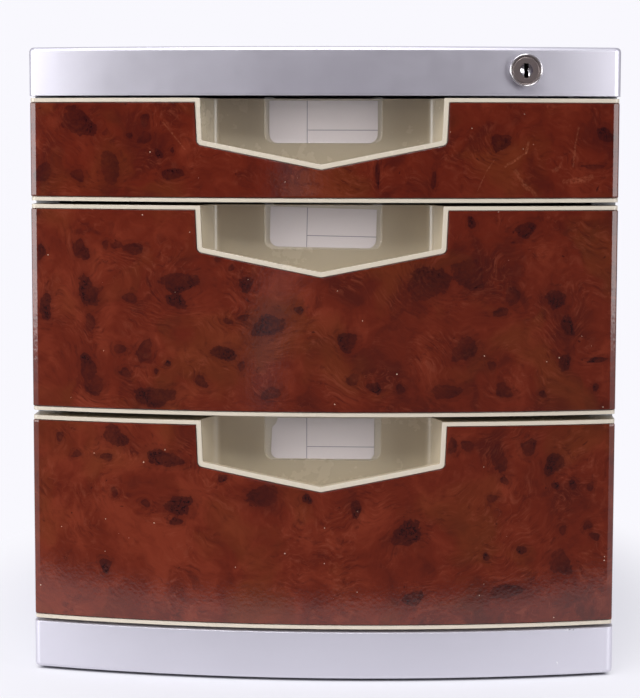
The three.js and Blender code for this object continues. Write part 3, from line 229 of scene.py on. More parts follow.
camera_data = bpy.data.cameras.new("camera")
camera_data.sensor_width = SENSOR_MM
camera_data.lens = FOCAL_PIXELS * SENSOR_MM / PICTURE_PIXELS
camera_data.clip_end = 50
camera = bpy.data.objects.new("camera", camera_data)
camera.matrix_world = Matrix.Translation(CAMERA_PLACE) @ aimed
scene = bpy.context.scene
scene.collection.objects.link(camera)
scene.camera = camera
print("lens", round(camera_data.lens, 1), "mm")

# %% [markdown]
# ## The studio
# The real cabinet stands on a white board in front of white paper. Its front mirrors the room, though: the
# drawers show a pale band at the very bottom, where they mirror the near part of the board, and the silver
# cover is grey in the middle, where it mirrors the dark room behind the camera. A paler doorway in that
# room leaves the faint upright haze on the middle drawer. So camera rays get the background colour, and
# every other ray that goes towards the camera's side finds a dark room. Behind the cabinet the mirrored
# surroundings are a middle grey, so that the silver paint still looks silver from the back. Most of the
# light on the object comes from the lamps.

# %% Colours of the studio
BACKGROUND = screen_colour(249, 248, 254)
BOARD, BOARD_FIBRE = screen_colour(219, 219, 228), screen_colour(205, 205, 214)
ROOM, ROOM_FLOOR = (0.035, 0.018, 0.042, 1.0), (0.10, 0.085, 0.095, 1.0)
DOORWAY, DOORWAY_SIDE, DOORWAY_HALF = (0.55, 0.50, 0.56, 1.0), -0.10, 0.07
BEHIND = (0.46, 0.46, 0.50, 1.0)
AMBIENT = 0.40


def seen_straight(rays):
    first_look = calc("LESS_THAN", rays["Diffuse Depth"], 0.5)
    return times(first_look, calc("MAXIMUM", rays["Is Camera Ray"], rays["Is Transmission Ray"]))


print("ambient light", AMBIENT)

# %% World
scene.view_settings.view_transform = "Standard"
world = bpy.data.worlds.new("studio")
scene.world = world
world.use_nodes = True
sky = world.node_tree
sky.nodes.clear()
rays = add(sky, "LightPath").outputs
aim = parts(add(sky, "TexCoord").outputs["Generated"])
towards_room = times(aim["Y"], -1.0)
sideways = ratio(aim["X"], calc("MAXIMUM", towards_room, 0.1))
room = mix(fade(apart(sideways, DOORWAY_SIDE), 0.0, DOORWAY_HALF), ROOM, DOORWAY)
back_half = times(fade(towards_room, -0.10, 0.25), rays["Is Glossy Ray"])
around = mix(back_half, mix(remap(towards_room, 0.50, 0.80), BACKGROUND, room), BEHIND)
straight = seen_straight(rays)
strength = remap(calc("MAXIMUM", straight, rays["Is Glossy Ray"]), 0.0, 1.0, AMBIENT, 1.0)
surround = add(sky, "Background", {"Color": mix(straight, around, BACKGROUND), "Strength": strength})
add(sky, "OutputWorld", {0: surround})
print(len(sky.nodes), "nodes make the surroundings")

# %% [markdown]
# ## The board that the cabinet stands on
# A flat disc is enough. Near the cabinet it is a plain pale surface that takes the shadow, mixed half and
# half with the background colour, because light that passes through real paper keeps its shadows faint.
# Under the cabinet no light comes through, which leaves a dark line below the plinth. Further out it turns
# into the background altogether, so that no horizon shows. For every ray but the camera's it ends some 19
# cm in front of the cabinet, and it reaches further forward on the left and right. The dark floor beyond it
# is why the upper part of the finger pockets gets so little light.

# %% Floor
FLOOR_RADIUS = 5.0
floor_mesh = bpy.data.meshes.new("floor")
floor_disc = bmesh.new()
bmesh.ops.create_circle(floor_disc, cap_ends=True, segments=96, radius=FLOOR_RADIUS)
floor_disc.to_mesh(floor_mesh)
floor_disc.free()
floor = bpy.data.objects.new("floor", floor_mesh)
scene.collection.objects.link(floor)
print("floor radius", FLOOR_RADIUS, "m")

# %% The board near the cabinet
CABINET_HALF, CABINET_BACK = cad_box[1][:2]
BOW_CENTRE, BOW_REACH = (0.0, 0.3513, 0.0), 0.551
SOFT, NEAR, FAR, GLOW_THROUGH = 0.004, 0.24, 0.44, 0.52

board = bpy.data.materials.new("pale_board")
board.use_nodes = True
tree = board.node_tree
tree.nodes.clear()
rays = add(tree, "LightPath").outputs
place = add(tree, "TexCoord").outputs["Object"]
spot = parts(place)
straight = seen_straight(rays)
distance = length(vector("MULTIPLY", place, {1: (1.7, 1.0, 1.0)}))
far_share = remap(distance, NEAR, FAR, GLOW_THROUGH, 1.0)
backdrop_share = calc("MAXIMUM", times(far_share, straight), rays["Is Glossy Ray"])
beside = fade(calc("ABSOLUTE", spot["X"]), CABINET_HALF - SOFT, CABINET_HALF)
behind_front = fade(length(offset(place, BOW_CENTRE)), BOW_REACH - SOFT, BOW_REACH)
before_back = fade(spot["Y"], CABINET_BACK - SOFT, CABINET_BACK)
covered = times(beside, behind_front, before_back)
backdrop_share = times(backdrop_share, minus(1.0, covered))
mirrored_behind = times(remap(spot["Y"], 0.0, 0.25), rays["Is Glossy Ray"])
backdrop = add(tree, "Emission", {"Color": mix(mirrored_behind, BACKGROUND, BEHIND)})
fibre = noise(place, 900.0, 3.0)
lit_board = add(tree, "BsdfDiffuse", {"Color": mix(remap(fibre, 0.3, 0.7, 0.0, 0.05), BOARD, BOARD_FIBRE)})
seen_board = add(tree, "MixShader", {0: backdrop_share, 1: lit_board, 2: backdrop})
print("board colour", [round(c, 2) for c in BOARD[:3]])

# %% The dark floor beyond the board
BOARD_END, SIDES_FROM = (-0.425, -0.35), -0.18
past_end = minus(calc("ABSOLUTE", spot["X"]), CABINET_HALF)
wide = ratio(past_end, calc("MAXIMUM", minus(SIDES_FROM, spot["Y"]), 0.01))
beyond_board = times(fade(spot["Y"], *BOARD_END), fade(wide, 1.0, 1.25))
sideways = ratio(spot["X"], minus(-0.2, spot["Y"]))
doorway_place = calc("MULTIPLY_ADD", spot["Y"], -0.028, -0.241)
haze = times(fade(apart(sideways, doorway_place), 0.0, DOORWAY_HALF), fade(spot["Y"], -1.6, -0.9))
doorway = times(haze, remap(noise(place, 2.2), 0.30, 0.60, 0.45, 1.0))
dark_floor = add(tree, "Emission", {"Color": mix(doorway, ROOM_FLOOR, DOORWAY)})
dark_share = times(beyond_board, minus(1.0, straight))
shown_board = add(tree, "MixShader", {0: dark_share, 1: seen_board, 2: dark_floor})
add(tree, "OutputMaterial", {0: shown_board})
floor_mesh.materials.append(board)
print(len(tree.nodes), "nodes make the board")

# %% [markdown]
# ## Lamps
# The main lamp is a soft box high in front. It lights the fronts and their lips, but the piece above keeps
# it out of the finger pockets, which is why their back walls are so much darker than their rims. Two soft
# boxes stand left and right, the left one stronger, and draw the bright ends on the silver cover and the
# upright lines in the pockets. A weak one hangs above. Big lamps make soft shadows, like the faint one on
# the right of the plinth.


# %% Soft boxes
def soft_box(name, place, target, size, watts):
    lamp_data = bpy.data.lights.new(name, "AREA")
    lamp_data.shape = "RECTANGLE"
    lamp_data.size, lamp_data.size_y = size
    lamp_data.energy = watts
    lamp = bpy.data.objects.new(name, lamp_data)
    lamp.location = place
    lamp.rotation_euler = (Vector(target) - Vector(place)).to_track_quat("-Z", "Y").to_euler()
    scene.collection.objects.link(lamp)
    print(name, "gives", watts, "W")


soft_box("soft_box_left", (-1.60, -0.865, 0.48), (-0.1, -0.15, 0.20), (0.974, 0.923), 17.0)
soft_box("soft_box_right", (1.50, -1.05, 0.52), (0.1, -0.15, 0.20), (0.79, 0.998), 12.0)
soft_box("soft_box_front", (-0.26, -1.18, 1.50), (0, -0.15, 0.16), (1.1, 0.7), 21.5)
soft_box("soft_box_above", (-0.1, 0.15, 1.7), (0, 0.0, 0.2), (1.3, 1.1), 2.5)

# %% [markdown]
# ## The bowed front
# All three fronts share one bow, an arc of about 551 mm radius that stands 20.8 mm out in the middle of a
# 300 mm width. Both the facings and the scuffs on them need it, so it comes first: give it a place across
# and a depth behind the outer surface, and it gives the place from front to back.

# %% The bow
HALF_WIDTH, FRONT_Y, BOW_RISE = round(cad_box[1][0] / MM, 1), round(cad_box[0][1] / MM, 1), 20.8
BOW_RADIUS = (HALF_WIDTH**2 + BOW_RISE**2) / (2 * BOW_RISE)


def bow(across, depth):
    return FRONT_Y + BOW_RADIUS - math.sqrt((BOW_RADIUS - depth) ** 2 - across**2)


print("bow radius", round(BOW_RADIUS, 1), "mm")

# %% [markdown]
# ## Effects that several finishes share
# Edge wear with a painted edge highlight, fine grain, dust and slow changes of tone turn up on the paint,
# on the plastic and on the metal. Each is built once as a node group with named sockets, and each material
# sets its own values. A group hands out only colours, masks, heights and normals. The shader itself stays
# in the material.


# %% A new node group
def new_group(name, inputs, outputs):
    tree = bpy.data.node_groups.new(name, "ShaderNodeTree")
    for title, value in inputs.items():
        kind = "Float" if isinstance(value, float) else {3: "Vector", 4: "Color"}[len(value)]
        socket = tree.interface.new_socket(title, in_out="INPUT", socket_type="NodeSocket" + kind)
        socket.default_value = value
    for title, kind in outputs.items():
        tree.interface.new_socket(title, in_out="OUTPUT", socket_type="NodeSocket" + kind)
    print("group", name, "puts out", ", ".join(outputs))
    return tree, tree.nodes.new("NodeGroupInput").outputs, tree.nodes.new("NodeGroupOutput")


def use(tree, group, inputs):
    return add(tree, "Group", inputs, node_tree=group).outputs


# %% [markdown]
# ### Soft edges
# No moulded or pressed edge is a perfect knife edge. The Bevel node bends the shading normal near an edge,
# which gives it the thin line of light that a real edge has. Where the bent normal differs from the true
# one there is an edge, so the same node also tells where paint wears and where colour thins. The finishes
# use that mask to paint their edges lighter, which is partly wear and partly a painted highlight.

# %% Group: soft edges
values = {"Radius": 0.0004}
soft_edges, given, result = new_group("soft_edges", values, {"Normal": "Vector", "Edge": "Float"})
rounded = add(soft_edges, "Bevel", {"Radius": given["Radius"]}, samples=4).outputs[0]
true_normal = add(soft_edges, "NewGeometry").outputs["Normal"]
fill(result, {"Normal": rounded, "Edge": fade(dot(rounded, true_normal), 0.80, 0.995)})

# %% [markdown]
# ### Uneven tone
# Paint and plastic are never one exact colour. A slow noise makes wide clouds and a quick one makes fine
# mottle. The amount is kept low: it should be missed when it is gone, and not seen when it is there.

# %% Group: uneven tone
values = {"Colour": (0.8, 0.8, 0.8, 1.0), "Size mm": 40.0, "Amount": 0.05}
uneven_tone, given, result = new_group("uneven_tone", values, {"Colour": "Color", "Cloud": "Float"})
place = millimetres(uneven_tone)
slow = noise(place, ratio(1.0, given["Size mm"]), 3.0)
quick = noise(place, ratio(12.0, given["Size mm"]), 2.0)
cloud = plus(times(slow, 0.75), times(quick, 0.25))
lift = calc("MULTIPLY_ADD", minus(cloud, 0.5), times(given["Amount"], 4.0), 1.0)
fill(result, {"Colour": scaled(given["Colour"], lift), "Cloud": cloud})

# %% [markdown]
# ### Dust specks
# A glossy surface shows every speck. Voronoi cells give one candidate point each. A random value per cell
# decides which few of them hold a speck and how large it is.

# %% Group: dust specks
values = {"Spacing mm": 12.0, "Share": 0.25, "Size mm": 0.3}
dust_specks, given, result = new_group("dust_specks", values, {"Mask": "Float"})
distance, chance, size = cells(millimetres(dust_specks), ratio(1.0, given["Spacing mm"]))
reach = times(ratio(given["Size mm"], given["Spacing mm"]), plus(size, 0.4))
near = calc("LESS_THAN", distance, reach)
fill(result, {"Mask": times(near, calc("LESS_THAN", chance, given["Share"]))})

# %% [markdown]
# ### Moulded grain
# A steel mould leaves its own fine texture in plastic, and sprayed paint dries with a faint orange peel.
# Both are a height that a Bump node reads, so the group puts out a height and each material chooses how
# deep it is.

# %% Group: moulded grain
values = {"Size mm": 0.4, "Peel mm": 2.4, "Peel share": 0.5}
moulded_grain, given, result = new_group("moulded_grain", values, {"Height": "Float"})
place = millimetres(moulded_grain)
pits = noise(place, ratio(1.0, given["Size mm"]), 2.0, 0.6)
peel = noise(place, ratio(1.0, given["Peel mm"]), 1.0)
fill(result, {"Height": add(moulded_grain, "Mix", {0: given["Peel share"], 2: pits, 3: peel})})

# %% [markdown]
# ### One stroke
# A scratch or a scuff is a short line. The mask below is the distance of a point from the line between two
# points, faded at its width and broken up by noise, so that it looks rubbed and not drawn.

# %% Group: stroke
values = {"Start": (0.0, 0.0, 0.0), "End": (0.0, 0.0, 1.0), "Width": 0.5}
stroke, given, result = new_group("stroke", values, {"Mask": "Float"})
place = millimetres(stroke)
along = offset(given["End"], given["Start"])
from_start = offset(place, given["Start"])
held = add(stroke, "Clamp", {"Value": ratio(dot(from_start, along), dot(along, along))}).outputs[0]
gap = length(offset(from_start, scaled(along, held)))
frayed = times(given["Width"], remap(noise(place, 0.45, 4.0, 0.7), 0.3, 0.7, 0.35, 1.25))
rubbed_and_front_lit = remap(noise(place, 0.9, 4.0, 0.7), 0.38, 0.6, 0.15, 1.0)
fill(result, {"Mask": times(fade(ratio(gap, frayed), 0.4, 1.0), rubbed_and_front_lit)})


def drawn(tree, start, end, width):
    return use(tree, stroke, {"Start": start, "End": end, "Width": width})["Mask"]


# %% [markdown]
# ## Finishes
# Each finish below starts from one Principled shader. The colour, roughness and normal are linked to
# patterns. Plain numbers that are the same all over the surface are set on the shader itself.

# %% A new finish
finishes = {}


def new_finish(name, **plain):
    material = bpy.data.materials.new(name)
    material.use_nodes = True
    shader = material.node_tree.nodes["Principled BSDF"]
    fill(shader, {title.replace("_", " "): value for title, value in plain.items()})
    finishes[name] = material
    print("finish", name)
    return material.node_tree, shader


def bump(height, depth_mm, **normal):
    return add(height.id_data, "Bump", {"Height": height, "Distance": depth_mm * MM, **normal})


# %% [markdown]
# ### Silver paint
# The cover and the plinth are moulded plastic under a silver paint. The paint holds tiny metal flakes, so
# it mirrors its surroundings, but softly: bright at the ends that face the soft boxes and grey in the
# middle. A nearly metallic shader with a middling roughness does the same. The level top is duller, because
# things are put down on it and slid off again. Corners are painted a little brighter, partly as rubbed
# paint and partly as a painted highlight, and a few specks lie on it. The plinth has one small chip in its
# upper edge; a bright burr beside it and a dent below are painted on as near-white painted highlights.

# %% Finish: silver paint
tree, shader = new_finish("silver_paint", Metallic=0.93)
tone = use(tree, uneven_tone, {"Colour": screen_colour(211, 209, 219), "Size mm": 60.0, "Amount": 0.02})
edge = use(tree, soft_edges, {"Radius": 0.0005})
specks = use(tree, dust_specks, {"Spacing mm": 16.0, "Share": 0.2, "Size mm": 0.28})
flakes = noise(millimetres(tree), 9.0, 1.0)
sparkle = mix(remap(flakes, 0.35, 0.75, 0.0, 0.10), tone["Colour"], screen_colour(245, 245, 250))
# Edges are painted lighter: partly rubbed paint, partly a painted highlight.
worn_and_edge_lit = mix(times(edge["Edge"], 0.35), sparkle, screen_colour(240, 240, 246))
worn_and_edge_lit = mix(times(specks["Mask"], 0.6), worn_and_edge_lit, screen_colour(120, 118, 122))
chip = drawn(tree, (127.4, -185.4, 25.6), (129.4, -184.9, 25.2), 0.8)
# The burr and the dent are painted near-white: painted highlights where the light catches them.
burr_highlight = drawn(tree, (125.1, -185.8, 25.0), (126.3, -185.5, 25.0), 0.75)
dent_highlight = drawn(tree, (121.1, -186.6, 8.7), (121.4, -186.4, 7.5), 0.55)
chipped = mix(times(chip, 0.9), worn_and_edge_lit, screen_colour(84, 82, 84))
bright = times(calc("MAXIMUM", dent_highlight, burr_highlight), 0.8)
fill(shader, {"Base Color": mix(bright, chipped, screen_colour(250, 250, 252))})
facing_up = parts(add(tree, "TexCoord").outputs["Normal"])["Z"]
dull = times(remap(facing_up, 0.985, 0.999), 0.34)
fill(shader, {"Roughness": plus(remap(tone["Cloud"], 0.3, 0.7, 0.41, 0.46), dull)})
grain = use(tree, moulded_grain, {"Size mm": 0.16, "Peel mm": 1.8, "Peel share": 0.45})
fill(shader, {"Normal": bump(grain["Height"], 0.004, Normal=edge["Normal"])})

# %% [markdown]
# ### Cream plastic
# The drawer fronts and trays are cream moulded plastic with a satin gloss, and dirt settles on it in fine
# specks. The rims and lips that stand furthest out are painted paler than the pockets behind them: painted
# light on the outer faces and painted shade in the pockets. How far a point lies behind the bow tells the
# two apart.

# %% Finish: cream plastic
tree, shader = new_finish("cream_plastic", IOR=1.6)
tone = use(tree, uneven_tone, {"Colour": screen_colour(197, 184, 161), "Size mm": 55.0, "Amount": 0.02})
edge = use(tree, soft_edges, {"Radius": 0.0004})
specks = use(tree, dust_specks, {"Spacing mm": 14.0, "Share": 0.15, "Size mm": 0.22})
from_centre = offset(millimetres(tree), (0.0, FRONT_Y + BOW_RADIUS, 0.0))
behind_bow = minus(BOW_RADIUS, length(vector("MULTIPLY", from_centre, {1: (1.0, 1.0, 0.0)})))
# Painted light: faces within a few millimetres of the bow are painted paler, and the pockets behind keep
# the darker tone as painted shade.
rubbed_and_front_lit = mix(remap(behind_bow, 0.8, 3.0, 0.85, 0.0), tone["Colour"], screen_colour(214, 204, 187))
# Edges are painted lighter still: a painted highlight along the rims and lips.
worn_and_edge_lit = mix(times(edge["Edge"], 0.5), rubbed_and_front_lit, screen_colour(224, 215, 198))
fill(shader, {"Base Color": mix(times(specks["Mask"], 0.5), worn_and_edge_lit, screen_colour(120, 105, 85))})
fill(shader, {"Roughness": remap(tone["Cloud"], 0.3, 0.7, 0.25, 0.28)})
grain = use(tree, moulded_grain, {"Size mm": 0.3, "Peel mm": 3.0, "Peel share": 0.5})
fill(shader, {"Normal": bump(grain["Height"], 0.006, Normal=edge["Normal"])})

# %% [markdown]
# ### Grey plastic
# The side panels and the back are a duller grey plastic with a fine spark texture from the mould.

# %% Finish: grey plastic
tree, shader = new_finish("grey_plastic", IOR=1.5)
tone = use(tree, uneven_tone, {"Colour": screen_colour(171, 172, 178), "Size mm": 70.0, "Amount": 0.025})
edge = use(tree, soft_edges, {"Radius": 0.0004})
# Edges are painted lighter: partly wear, partly a painted highlight.
worn_and_edge_lit = mix(times(edge["Edge"], 0.3), tone["Colour"], screen_colour(205, 206, 212))
fill(shader, {"Base Color": worn_and_edge_lit, "Roughness": remap(tone["Cloud"], 0.3, 0.7, 0.46, 0.56)})
grain = use(tree, moulded_grain, {"Size mm": 0.55, "Peel mm": 4.0, "Peel share": 0.25})
fill(shader, {"Normal": bump(grain["Height"], 0.035, Normal=edge["Normal"])})

# %% [markdown]
# ### Glossy burl
# The facings carry a print of burl wood under a clear coat: a calm red brown ground, dark eyes with a crisp
# edge, and fine grain that flows round the eyes. The ground is noise that is bent by slower noise, with
# some patches browner than the rest. Painted light makes the ground a little paler on the left, darker on
# the right and paler on the bottom drawer, where the lamps fall stronger.
# The eyes can't come from noise alone, because each has a place, so the mesh of a facing carries three
# values, made further down: how deep a point lies inside an eye, how strong that eye is, and the height of
# a hill whose contour lines are the grain.

# %% Finish: glossy burl, the ground
BURL_DARK, BURL_EYE = screen_colour(66, 21, 15), screen_colour(43, 14, 13)
BURL_MID, BURL_LIGHT = screen_colour(92, 31, 18), screen_colour(112, 44, 27)
BURL_PALE, BURL_BROWN = screen_colour(128, 62, 43), screen_colour(97, 47, 22)


def swept(place, size_mm, reach_mm):
    drift = noise(place, 1 / size_mm, output=1)
    return vector("ADD", place, {1: scaled(offset(drift, (0.5, 0.5, 0.5)), reach_mm)})


tree, shader = new_finish("burl_gloss", IOR=1.5)
place = millimetres(tree)
spot = parts(place)
bent = swept(swept(place, 34, 40.0), 9, 8.0)
# Painted light: below 240 mm the ground is painted paler on the left and darker on the right, and below 133
# mm it is painted paler all over.
painted_light_left = times(remap(spot["X"], -150.0, 150.0, 0.05, -0.05), fade(spot["Z"], 240.0, 245.0))
painted_light_low = remap(spot["Z"], 133.0, 136.0, 0.045, 0.0)
cloud = plus(plus(noise(bent, 1 / 22, 5.0, 0.55), painted_light_left), painted_light_low)
ground = mix(remap(cloud, 0.30, 0.52, 0.25, 1.0), BURL_DARK, BURL_MID)
ground = mix(remap(cloud, 0.50, 0.72, 0.0, 0.9), ground, BURL_LIGHT)
browner = times(remap(noise(bent, 1 / 48, 2.0), 0.50, 0.66), 0.42)
ground = mix(browner, ground, BURL_BROWN)

# %% [markdown]
# Grain is noise that is squeezed across the contour lines and stretched along them. The hill's height is
# one coordinate of the noise, so the streaks bend wherever the contours bend. A slow noise is added to the
# hill first: it closes some contours into small whorls, which is what tells burl from plain wood. Thin pale
# lines come from a narrow band of the same noise, and they show only in patches.

# %% Finish: glossy burl, the grain
ACROSS_GRAIN, ALONG_GRAIN = 1.1, 0.13
whorls = minus(noise(place, 1 / 12, 1.5, 0.5), 0.5)
hill = calc("MULTIPLY_ADD", whorls, 6.0, on_mesh(tree, "figure"))
flow = parts(bent)
axes = {0: times(hill, ACROSS_GRAIN), 1: times(flow["X"], ALONG_GRAIN), 2: times(flow["Z"], ALONG_GRAIN)}
streak_place = add(tree, "CombineXYZ", axes).outputs[0]
streak = noise(streak_place, 1.0, 3.5, 0.55)
patchy = remap(noise(place, 1 / 17, 2.0), 0.42, 0.62)
dark_streak = times(remap(streak, 0.50, 0.72), calc("MULTIPLY_ADD", patchy, 0.45, 0.20))
light_streak = times(remap(streak, 0.48, 0.30), calc("MULTIPLY_ADD", patchy, 0.30, 0.07))
figured = mix(dark_streak, ground, BURL_DARK)
figured = mix(light_streak, figured, BURL_PALE)
ridge = apart(noise(streak_place, 0.8, 2.0), 0.5)
hairline = times(fade(ridge, 0.004, 0.018), times(patchy, 0.24))
figured = mix(hairline, figured, BURL_PALE)
print(len(tree.nodes), "nodes with the grain")

# %% [markdown]
# An eye is dark inside, mottled, with a slightly darker rim, and it lies in a wider soft shade with a few
# fading rings. Its edge is made uneven by adding noise to the depth before the depth is compared with zero.
# A third value on the mesh says how strong each eye is, because some are nearly black and others no more
# than a cloud.

# %% Finish: glossy burl, the eyes
depth_in_eye, eye_strength = on_mesh(tree, "eye"), on_mesh(tree, "eye_strength")
tatters = minus(noise(place, 1 / 4.2, 4.0, 0.6), 0.5)
ragged_depth = calc("MULTIPLY_ADD", tatters, 1.3, depth_in_eye)
figured = mix(times(remap(ragged_depth, -1.0, 0.3), 0.42), figured, BURL_DARK)
mottle = remap(noise(place, 0.62, 3.0, 0.6), 0.36, 0.62, 0.62, 1.0)
eye = times(remap(ragged_depth, -0.08, 0.40), times(eye_strength, mottle))
eyed = mix(eye, figured, BURL_EYE)
rim = times(remap(ragged_depth, -0.02, 0.10), fade(ragged_depth, 0.10, 0.26))
eyed = mix(times(rim, times(eye_strength, 0.55)), eyed, BURL_EYE)
ring = times(remap(calc("SINE", times(ragged_depth, 7.0)), -0.2, 1.0), remap(streak, 0.42, 0.62))
fading = times(remap(ragged_depth, -1.7, -0.1), remap(depth_in_eye, 0.5, 0.9, 1.0, 0.2))
eyed = mix(times(ring, times(fading, 0.30)), eyed, BURL_EYE)
pin_distance, pin_chance, pin_size = cells(bent, 1 / 6.5)
pin_reach = calc("MULTIPLY_ADD", pin_size, 0.12, 0.06)
pin = times(fade(ratio(pin_distance, pin_reach), 0.4, 1.2), calc("LESS_THAN", pin_chance, 0.15))
eyed = mix(times(pin, 0.7), eyed, BURL_EYE)
print(len(tree.nodes), "nodes with the eyes")

# %% [markdown]
# ### The coat over the burl
# The clear coat is what makes the print look deep. It has a faint orange peel, a few dust specks, and on
# the top drawer some pale scuffs from use. Each scuff is a chain of strokes. Their places were read from
# the photograph, as millimetres across and above the desk, and the bow gives how far back each point
# lies. Two numbers follow: the width of the scuff in millimetres, and how far it turns the print pale.

# %% Finish: glossy burl, the coat
SCUFFS = [
    ([(128.5, 281), (127, 273), (126, 262)], 0.7, 0.10),
    ([(103.5, 274), (102, 269), (96.6, 265), (91.6, 262)], 0.9, 0.11),
    ([(97, 260), (101, 253), (107, 248)], 1.5, 0.08),
    ([(86, 265), (82, 259), (78, 250)], 0.5, 0.08),
    ([(122, 254.5), (130, 255), (136, 256.5)], 2.0, 0.08),
    ([(116.5, 260), (118.5, 261.5)], 1.7, 0.08),
    ([(-80, 284), (-75, 278), (-68.5, 270)], 0.6, 0.09),
]
coated = eyed
for corners, width, amount in SCUFFS:
    points = [(across, bow(across, 0.0), up) for across, up in corners]
    for start, end in zip(points, points[1:]):
        coated = mix(times(drawn(tree, start, end, width), amount), coated, screen_colour(222, 140, 100))
specks = use(tree, dust_specks, {"Spacing mm": 6.2, "Share": 0.42, "Size mm": 0.23})
coated = mix(times(specks["Mask"], 0.85), coated, screen_colour(222, 192, 168))
fill(shader, {"Base Color": coated, "Roughness": remap(specks["Mask"], 0.0, 1.0, 0.085, 0.5)})
edge = use(tree, soft_edges, {"Radius": 0.0003})
grain = use(tree, moulded_grain, {"Size mm": 0.5, "Peel mm": 1.7, "Peel share": 0.85})
fill(shader, {"Normal": bump(grain["Height"], 0.042, Normal=edge["Normal"])})
print(len(SCUFFS), "scuffs")

# %% [markdown]
# ### Clear plastic, card, chrome, zinc and rubber
# The label windows are clear sheet. Light has to reach the card behind them, so shadow rays pass straight
# through. The card is plain paper with two printed rules. Its drawn lines follow a map that lies on the
# card, so they tilt with it.

# %% Finish: clear plastic
tree, shader = new_finish("clear_plastic", IOR=1.49, Transmission_Weight=1.0)
peel = use(tree, moulded_grain, {"Size mm": 1.2, "Peel mm": 9.0, "Peel share": 0.8})
fill(shader, {"Normal": bump(peel["Height"], 0.01)})
haze = use(tree, uneven_tone, {"Colour": screen_colour(254, 254, 254), "Size mm": 9.0, "Amount": 0.004})
fill(shader, {"Base Color": haze["Colour"], "Roughness": remap(haze["Cloud"], 0.4, 0.7, 0.02, 0.06)})
passing = add(tree, "BsdfTransparent", {"Color": (0.99, 0.99, 0.99, 1)})
shadow_ray = add(tree, "LightPath").outputs["Is Shadow Ray"]
through = add(tree, "MixShader", {0: shadow_ray, 1: shader, 2: passing})
fill(tree.nodes["Material Output"], {0: through})

# %% Finish: card
RULE_ACROSS, RULE_DOWN, RULE_HALF = -8.3, 15.9, 0.2
tree, shader = new_finish("card", IOR=1.45, Roughness=0.75)
tone = use(tree, uneven_tone, {"Colour": screen_colour(217, 207, 205), "Size mm": 14.0, "Amount": 0.015})
fibres = noise(millimetres(tree), 3.2, 4.0, 0.7)
on_card = parts(add(tree, "UVMap", uv_map="print").outputs[0])
upright = calc("LESS_THAN", apart(on_card["X"], RULE_ACROSS), RULE_HALF)
level = calc("LESS_THAN", apart(on_card["Y"], RULE_DOWN), RULE_HALF)
level = times(level, calc("GREATER_THAN", on_card["X"], RULE_ACROSS))
ruled = mix(times(calc("MAXIMUM", upright, level), 0.75), tone["Colour"], screen_colour(92, 88, 100))
fill(shader, {"Base Color": mix(remap(fibres, 0.45, 0.8, 0.0, 0.12), ruled, screen_colour(150, 142, 148))})
fill(shader, {"Normal": bump(fibres, 0.01)})

# %% Finish: chrome
tree, shader = new_finish("chrome", Metallic=1.0)
tone = use(tree, uneven_tone, {"Colour": screen_colour(208, 206, 208), "Size mm": 6.0, "Amount": 0.03})
edge = use(tree, soft_edges, {"Radius": 0.0002})
turning = noise(millimetres(tree), 4.0, 3.0, 0.6)
satin = on_mesh(tree, "satin")
brushed = mix(satin, tone["Colour"], screen_colour(166, 154, 150))
# Keyway faces are painted near black: painted shade deep inside the slot.
fill(shader, {"Base Color": mix(on_mesh(tree, "painted_keyway_shade"), brushed, screen_colour(24, 20, 20))})
duller = calc("MULTIPLY_ADD", satin, 0.24, remap(turning, 0.3, 0.7, 0.10, 0.18))
fill(shader, {"Roughness": duller, "Normal": edge["Normal"]})

# %% Finish: zinc-plated steel
tree, shader = new_finish("zinc_steel", Metallic=1.0)
tone = use(tree, uneven_tone, {"Colour": screen_colour(188, 190, 192), "Size mm": 8.0, "Amount": 0.06})
edge = use(tree, soft_edges, {"Radius": 0.0002})
fill(shader, {"Base Color": tone["Colour"], "Normal": edge["Normal"]})
fill(shader, {"Roughness": remap(tone["Cloud"], 0.3, 0.7, 0.28, 0.44)})

# %% Finish: rubber
tree, shader = new_finish("rubber", IOR=1.5)
tone = use(tree, uneven_tone, {"Colour": screen_colour(34, 34, 36), "Size mm": 5.0, "Amount": 0.08})
grain = use(tree, moulded_grain, {"Size mm": 0.35, "Peel mm": 1.5, "Peel share": 0.3})
fill(shader, {"Base Color": tone["Colour"], "Normal": bump(grain["Height"], 0.03)})
fill(shader, {"Roughness": remap(tone["Cloud"], 0.3, 0.7, 0.72, 0.86)})

# %% [markdown]
# ## Putting a piece in its node's place
# A new piece is made in the cabinet's own coordinates, so it never needs moving. It rides on the body of
# the node that it stands for, takes that node's finish, and hides it.


# %% Helpers for pieces
def new_piece(name, shape):
    mesh = bpy.data.meshes.new(name)
    shape.to_mesh(mesh)
    shape.free()
    piece = bpy.data.objects.new(name, mesh)
    scene.collection.objects.link(piece)
    return piece


def shade(piece, sharp_degrees):
    mesh = piece.data
    if "custom_normal" in mesh.attributes:
        mesh.attributes.remove(mesh.attributes["custom_normal"])
    mesh.polygons.foreach_set("use_smooth", [True] * len(mesh.polygons))
    mesh.set_sharp_from_angle(angle=math.radians(sharp_degrees))
    weighting = piece.modifiers.new("even_shading", "WEIGHTED_NORMAL")
    weighting.keep_sharp = True


def stand_for(piece, node, sharp_degrees=38.0):
    if sharp_degrees:
        shade(piece, sharp_degrees)
    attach(piece, body_of[node])
    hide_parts(node)
    piece.data.materials.clear()
    piece.data.materials.append(finishes[slot_of[node]])
    print(piece.name, len(piece.data.polygons), "faces")


# %% [markdown]
# ## Smooth shells
# The cover, plinth, panels, fronts and trays have the right shape already, but CAD hands each triangle over
# with its own flat shading. A copy is welded, its flat areas are joined into single faces, and then it is
# shaded smooth everywhere except across true corners. Weighting the normals by face area keeps large flats
# flat next to a radius.


# %% Smooth copies
WELD_WITHIN, FLAT_DEGREES = 1e-6, 0.2


